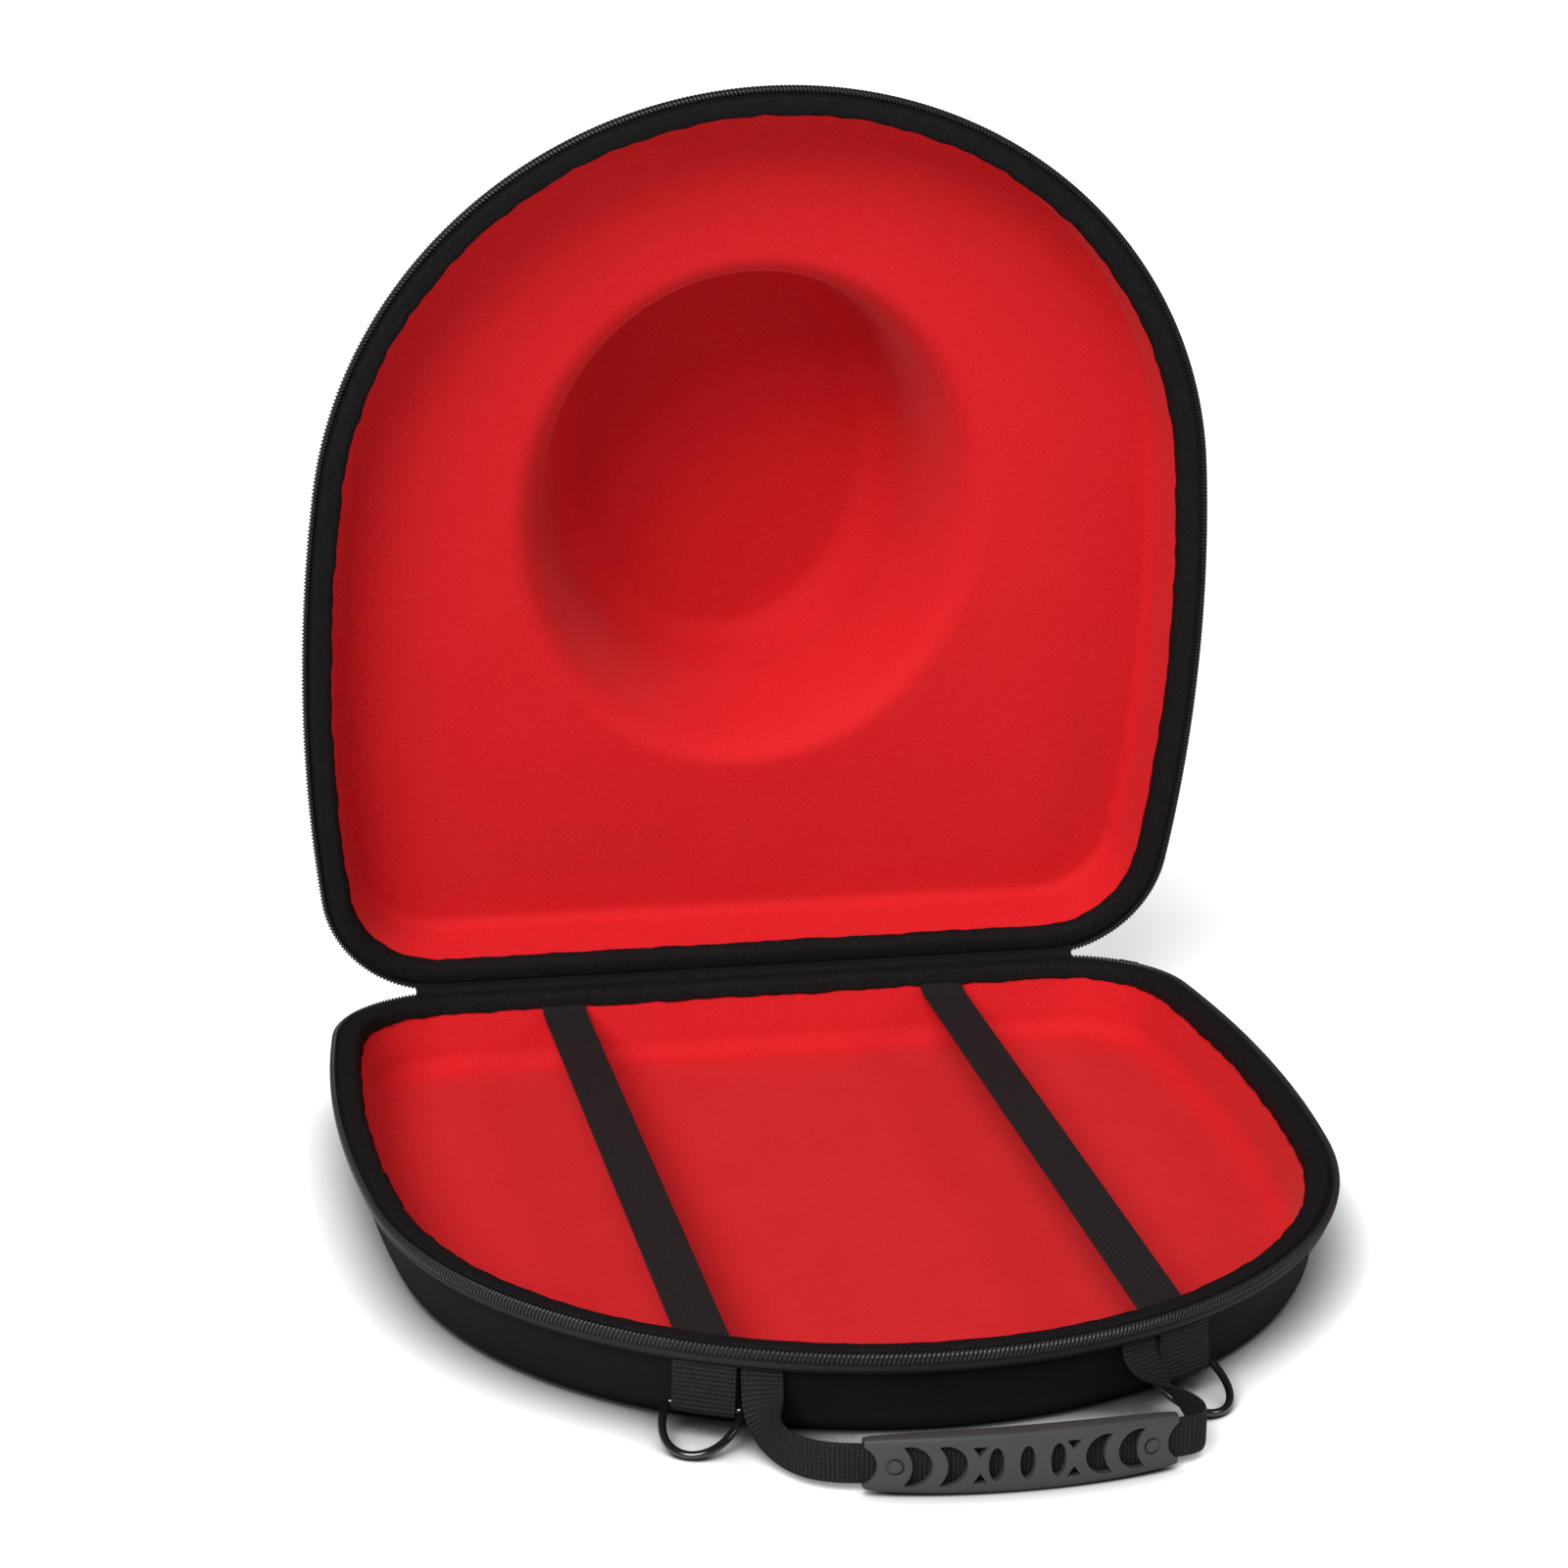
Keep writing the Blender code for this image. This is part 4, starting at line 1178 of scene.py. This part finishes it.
def grip_half(share):
    bulge = max(0.0, 1 - share * share) ** 0.6
    return [(e + (m - e) * bulge) / 2 for m, e in zip(GRIP_MID, GRIP_END)]


def cutter_mesh(depth):
    """All windows and the shallow grooves as one set of prisms."""
    parts = []
    for shape in window_shapes():
        ring = np.array([(GRIP_X + x, 0.0, GRIP_Z + z) for x, z in shape])
        near, far = ring + (0, GRIP_Y - 0.02, 0), ring + (0, GRIP_Y + 0.03, 0)
        parts.append(grid_mesh("cut", np.array((near, far)), wrap_cols=True, caps=True))
    half_t = grip_half(EYE_X / (GRIP_L / 2))[1]
    middle = grip_line(GRIP_X + EYE_X)[1]
    angles = np.linspace(0, 2 * math.pi, 32, endpoint=False)
    for side in (-1, 1):
        for face in (-1, 1):
            floor = middle + face * (half_t - depth)
            top = middle + face * (half_t + 0.004)
            rows = []
            for radius, y in ((EYE_R[0], floor), (EYE_R[1], floor), (EYE_R[1], top), (EYE_R[0], top)):
                rows.append([
                    (GRIP_X + side * EYE_X + radius * math.cos(a), y, GRIP_Z + radius * math.sin(a))
                    for a in angles
                ])
            parts.append(grid_mesh("cut", np.array(rows), wrap_rows=True, wrap_cols=True))
    return parts


def squared_ring(centre, half_t, half_h, power):
    """Ring of points round a centre, squarer as the power falls."""
    ring = []
    for a in np.linspace(0, 2 * math.pi, 40, endpoint=False):
        c, s = math.cos(a), math.sin(a)
        y = half_t * math.copysign(abs(c) ** power, c)
        z = half_h * math.copysign(abs(s) ** power, s)
        ring.append(centre + (0, y, z))
    return ring


def applied(piece):
    """The mesh of a piece with its modifiers worked in."""
    bpy.context.view_layer.update()
    graph = bpy.context.evaluated_depsgraph_get()
    mesh = bpy.data.meshes.new_from_object(piece.evaluated_get(graph))
    piece.modifiers.clear()
    return mesh


class HATCASE_OT_grip(bpy.types.Operator):
    """Builds the rubber grip sleeve with its windows"""
    bl_idname = "hat_case.grip"
    bl_label = "Grip"

    def execute(self, context):
        slot_h, slot_t = STRAP_W / 2 + FIT_GAP, STRAP_T / 2 + FIT_GAP
        outer, inner = [], []
        for share in np.linspace(-1, 1, 61):
            centre = grip_line(GRIP_X + share * GRIP_L / 2)
            half_h, half_t = grip_half(share)
            outer.append(squared_ring(centre, half_t, half_h, GRIP_SQUARE))
            inner.append(squared_ring(centre, slot_t, slot_h, SLOT_SQUARE))
        rows = np.array(outer + inner[::-1])
        mesh = grid_mesh("grip_sleeve", rows, wrap_rows=True, wrap_cols=True)
        piece = finish_piece("grip_sleeve", mesh, grip_rubber())
        cutter = joined("grip_cutter", cutter_mesh(context.scene.case_sizes.groove), grip_rubber())
        cut = piece.modifiers.new("windows", "BOOLEAN")
        cut.operation = "DIFFERENCE"
        cut.solver = "EXACT"
        cut.object = cutter
        opened = applied(piece)
        bpy.data.objects.remove(cutter)
        if len(opened.polygons) < 100:
            raise RuntimeError("the grip windows could not be cut")
        piece.data = opened
        bevel = piece.modifiers.new("soft_edges", "BEVEL")
        bevel.width = GRIP_SOFT
        bevel.segments = 2
        bevel.limit_method = "ANGLE"
        bevel.angle_limit = math.radians(50.0)
        bevel.use_clamp_overlap = True
        softened = applied(piece)
        piece.data = softened
        softened.materials.clear()
        softened.materials.append(grip_rubber())
        softened.polygons.foreach_set("material_index", [0] * len(softened.polygons))
        softened.shade_smooth()
        softened.set_sharp_from_angle(angle=math.radians(35.0))
        dress(piece, "base", ["handle_grip"])
        return {"FINISHED"}


# Zip slider
def rounded_plate(points, thickness, edge):
    """Rings of a plate with softened edges from its outline in the plane of the plate."""
    points = np.array(points)
    middle = points.mean(0)
    rows = []
    steps = (
        (edge * 3, 0.0), (edge, edge * 0.3), (0.0, edge),
        (0.0, thickness - edge), (edge, thickness - edge * 0.3), (edge * 3, thickness),
    )
    for shrink, height in steps:
        reach = np.linalg.norm(points - middle, axis=1, keepdims=True)
        rows.append((middle + (points - middle) * (1 - shrink / reach), height))
    return rows


class HATCASE_OT_slider(bpy.types.Operator):
    """Builds the zip slider with its bridge and pull"""
    bl_idname = "hat_case.slider"
    bl_label = "Zip slider"

    def execute(self, context):
        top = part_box("zip_slider")[1][2]
        turn = (SIDE_END + math.pi) / 2
        out = np.array((math.sin(turn), -math.cos(turn), 0.0))
        along = np.array((math.cos(turn), math.sin(turn), 0.0))
        corner = np.array((BACK_HALF, CASE_L / 2 - CORNER_R, 0.0))
        origin = corner + out * (CORNER_R + 0.0009)

        def put(u, v, z):
            return origin + along * u + out * v + np.array((0.0, 0.0, top + z))

        def plate(outline_points, base_v, thickness, edge):
            rings = rounded_plate(outline_points, thickness, edge)
            return np.array([[put(u, base_v + v, z) for u, z in ring] for ring, v in rings])

        body = chaikin([
            (-0.0052, -0.0002), (-0.0020, -0.0004), (0.0020, -0.0004), (0.0052, -0.0002),
            (0.0060, -0.0030), (0.0046, -0.0050), (0.0060, -0.0070), (0.0052, -0.0098),
            (-0.0052, -0.0098), (-0.0060, -0.0070), (-0.0046, -0.0050), (-0.0060, -0.0030),
        ], 2)
        parts = [grid_mesh("slider_a", plate(body, 0.0, 0.0034, 0.0004), wrap_cols=True, caps=True)]
        arch = np.array([
            (0.0, 0.0030 + 0.0020 * math.sin(a), -0.0050 + 0.0036 * math.cos(a))
            for a in np.linspace(0, math.pi, 17)
        ])
        line = np.array([put(u, v, z) for u, v, z in arch])
        rows = tube(line, 0.0008, 10, np.repeat(along[None, :], len(line), 0))
        parts.append(grid_mesh("slider_b", rows, wrap_cols=True, caps=True))
        outer = chaikin([
            (-0.0020, -0.0060), (0.0020, -0.0060), (0.0031, -0.0100), (0.0032, -0.0270),
            (0.0020, -0.0300), (-0.0020, -0.0300), (-0.0032, -0.0270), (-0.0031, -0.0100),
        ], 3)
        parts.append(grid_mesh("slider_c", plate(outer, 0.0038, 0.0015, 0.0003), wrap_cols=True, caps=True))
        piece = joined("zip_slider_cast", parts, dark_metal(), 50.0)
        dress(piece, "base", ["zip_slider"])
        return {"FINISHED"}


# Stage
def aim(obj, direction):
    obj.rotation_euler = Vector(direction).to_track_quat("-Z", "Y").to_euler()


def floor_paper():
    """White paper, darker close to what stands on it and lifted towards white for the camera."""
    material = surface(
        "floor_paper", "floor", "floor_lit", 0.9, fibre_scale=300.0, fibre_bump=0.1, specular=0.1,
        bump_mm=0.01,
    )
    tree = material.node_tree
    shader = tree.nodes["Principled BSDF"]
    near = tree.nodes.new("ShaderNodeAmbientOcclusion")
    near.inputs["Distance"].default_value = SHADE_REACH
    clear = tree.nodes.new("ShaderNodeMapRange")
    clear.inputs["From Min"].default_value, clear.inputs["From Max"].default_value = SHADE_SPAN
    tree.links.new(near.outputs["AO"], clear.inputs["Value"])
    shade = tree.nodes.new("ShaderNodeMix")
    shade.data_type = "RGBA"
    shade.inputs["A"].default_value = (SHADE_TONE, SHADE_TONE, SHADE_TONE, 1.0)
    tree.links.new(clear.outputs["Result"], shade.inputs["Factor"])
    tree.links.new(shader.inputs["Base Color"].links[0].from_socket, shade.inputs["B"])
    tree.links.new(shade.outputs["Result"], shader.inputs["Base Color"])
    rays = tree.nodes.new("ShaderNodeLightPath")
    glow = math_node(tree, "MULTIPLY", clear.outputs["Result"], rays.outputs["Is Camera Ray"])
    tree.links.new(glow, shader.inputs["Emission Color"])
    shader.inputs["Emission Strength"].default_value = FLOOR_GLOW
    return material


def studio_world():
    """White surroundings: soft as light, dim in glossy pieces, and white to the camera."""
    world = bpy.data.worlds.new("studio_white")
    world.use_nodes = True
    nodes, links = world.node_tree.nodes, world.node_tree.links
    rays = nodes.new("ShaderNodeLightPath")
    shown = nodes["Background"]
    shown.inputs["Color"].default_value = (1.0, 1.0, 1.0, 1.0)
    shown.inputs["Strength"].default_value = SKY
    for ray, strength in (("Is Glossy Ray", SKY_IN_GLOSS), ("Is Camera Ray", SKY_SEEN)):
        sky = nodes.new("ShaderNodeBackground")
        sky.inputs["Color"].default_value = (1.0, 1.0, 1.0, 1.0)
        sky.inputs["Strength"].default_value = strength
        pick = nodes.new("ShaderNodeMixShader")
        links.new(rays.outputs[ray], pick.inputs[0])
        links.new(shown.outputs[0], pick.inputs[1])
        links.new(sky.outputs[0], pick.inputs[2])
        shown = pick
    links.new(shown.outputs[0], nodes["World Output"].inputs["Surface"])
    return world


class HATCASE_OT_stage(bpy.types.Operator):
    """Sets the pale floor, the soft light and the camera"""
    bl_idname = "hat_case.stage"
    bl_label = "Stage"

    def execute(self, context):
        scene = context.scene
        scene.view_settings.view_transform = "Standard"
        mesh = bpy.data.meshes.new("pale_floor")
        corners = ((-1, -1), (1, -1), (1, 1), (-1, 1))
        mesh.from_pydata([(x * FLOOR_HALF, y * FLOOR_HALF, 0) for x, y in corners], [], [(0, 1, 2, 3)])
        mesh.materials.append(floor_paper())
        floor = bpy.data.objects.new("pale_floor", mesh)
        scene.collection.objects.link(floor)
        scene.world = studio_world()

        sun = bpy.data.lights.new("soft_key", "SUN")
        sun.energy = SUN_POWER
        sun.angle = SUN_SPREAD
        key = bpy.data.objects.new("soft_key", sun)
        aim(key, SUN_WAY)
        scene.collection.objects.link(key)
        for name, spot, power, width in SOFTBOXES:
            lamp = bpy.data.lights.new(name, "AREA")
            lamp.energy = power
            lamp.size = width
            box = bpy.data.objects.new(name, lamp)
            box.location = spot
            aim(box, Vector((0.0, 0.0, 0.1)) - Vector(spot))
            scene.collection.objects.link(box)

        lens = bpy.data.cameras.new("photo_camera")
        lens.lens = CAMERA_LENS
        lens.sensor_width = SENSOR_W
        lens.clip_end = 100.0
        lens.dof.use_dof = False
        camera = bpy.data.objects.new("photo_camera", lens)
        columns = zip(CAMERA_RIGHT, CAMERA_UP, (-f for f in CAMERA_FORWARD), CAMERA_PLACE)
        camera.matrix_world = Matrix([list(row) for row in columns] + [[0.0, 0.0, 0.0, 1.0]])
        scene.collection.objects.link(camera)
        scene.camera = camera
        return {"FINISHED"}


OPERATORS = (
    HATCASE_OT_shells, HATCASE_OT_linings, HATCASE_OT_bindings, HATCASE_OT_zips, HATCASE_OT_hinge,
    HATCASE_OT_ring_tabs, HATCASE_OT_rings, HATCASE_OT_elastics, HATCASE_OT_handle_strap,
    HATCASE_OT_grip, HATCASE_OT_slider, HATCASE_OT_stage,
)


class HATCASE_PT_panel(bpy.types.Panel):
    """Lists the sizes, colours and pieces of the case"""
    bl_idname = "HATCASE_PT_panel"
    bl_label = "Hat travel case"
    bl_space_type = "VIEW_3D"
    bl_region_type = "UI"
    bl_category = "Hat case"

    def draw(self, context):
        for group in (context.scene.case_sizes, context.scene.case_colours):
            column = self.layout.column()
            for label in group.bl_rna.properties.keys():
                if label not in ("rna_type", "name"):
                    column.prop(group, label)
        for operator in OPERATORS:
            self.layout.operator(operator.bl_idname)


CLASSES = (CaseSizes, CaseColours) + OPERATORS + (HATCASE_PT_panel,)


def register():
    for cls in CLASSES:
        bpy.utils.register_class(cls)
    bpy.types.Scene.case_sizes = PointerProperty(type=CaseSizes)
    bpy.types.Scene.case_colours = PointerProperty(type=CaseColours)


def unregister():
    del bpy.types.Scene.case_colours
    del bpy.types.Scene.case_sizes
    for cls in reversed(CLASSES):
        bpy.utils.unregister_class(cls)


def main():
    register()
    bpy.ops.hat_case.shells()
    bpy.ops.hat_case.linings()
    bpy.ops.hat_case.bindings()
    bpy.ops.hat_case.zips()
    bpy.ops.hat_case.hinge()
    bpy.ops.hat_case.ring_tabs()
    bpy.ops.hat_case.rings()
    bpy.ops.hat_case.elastics()
    bpy.ops.hat_case.handle_strap()
    bpy.ops.hat_case.grip()
    bpy.ops.hat_case.slider()
    bpy.ops.hat_case.stage()


if __name__ == "__main__":
    main()
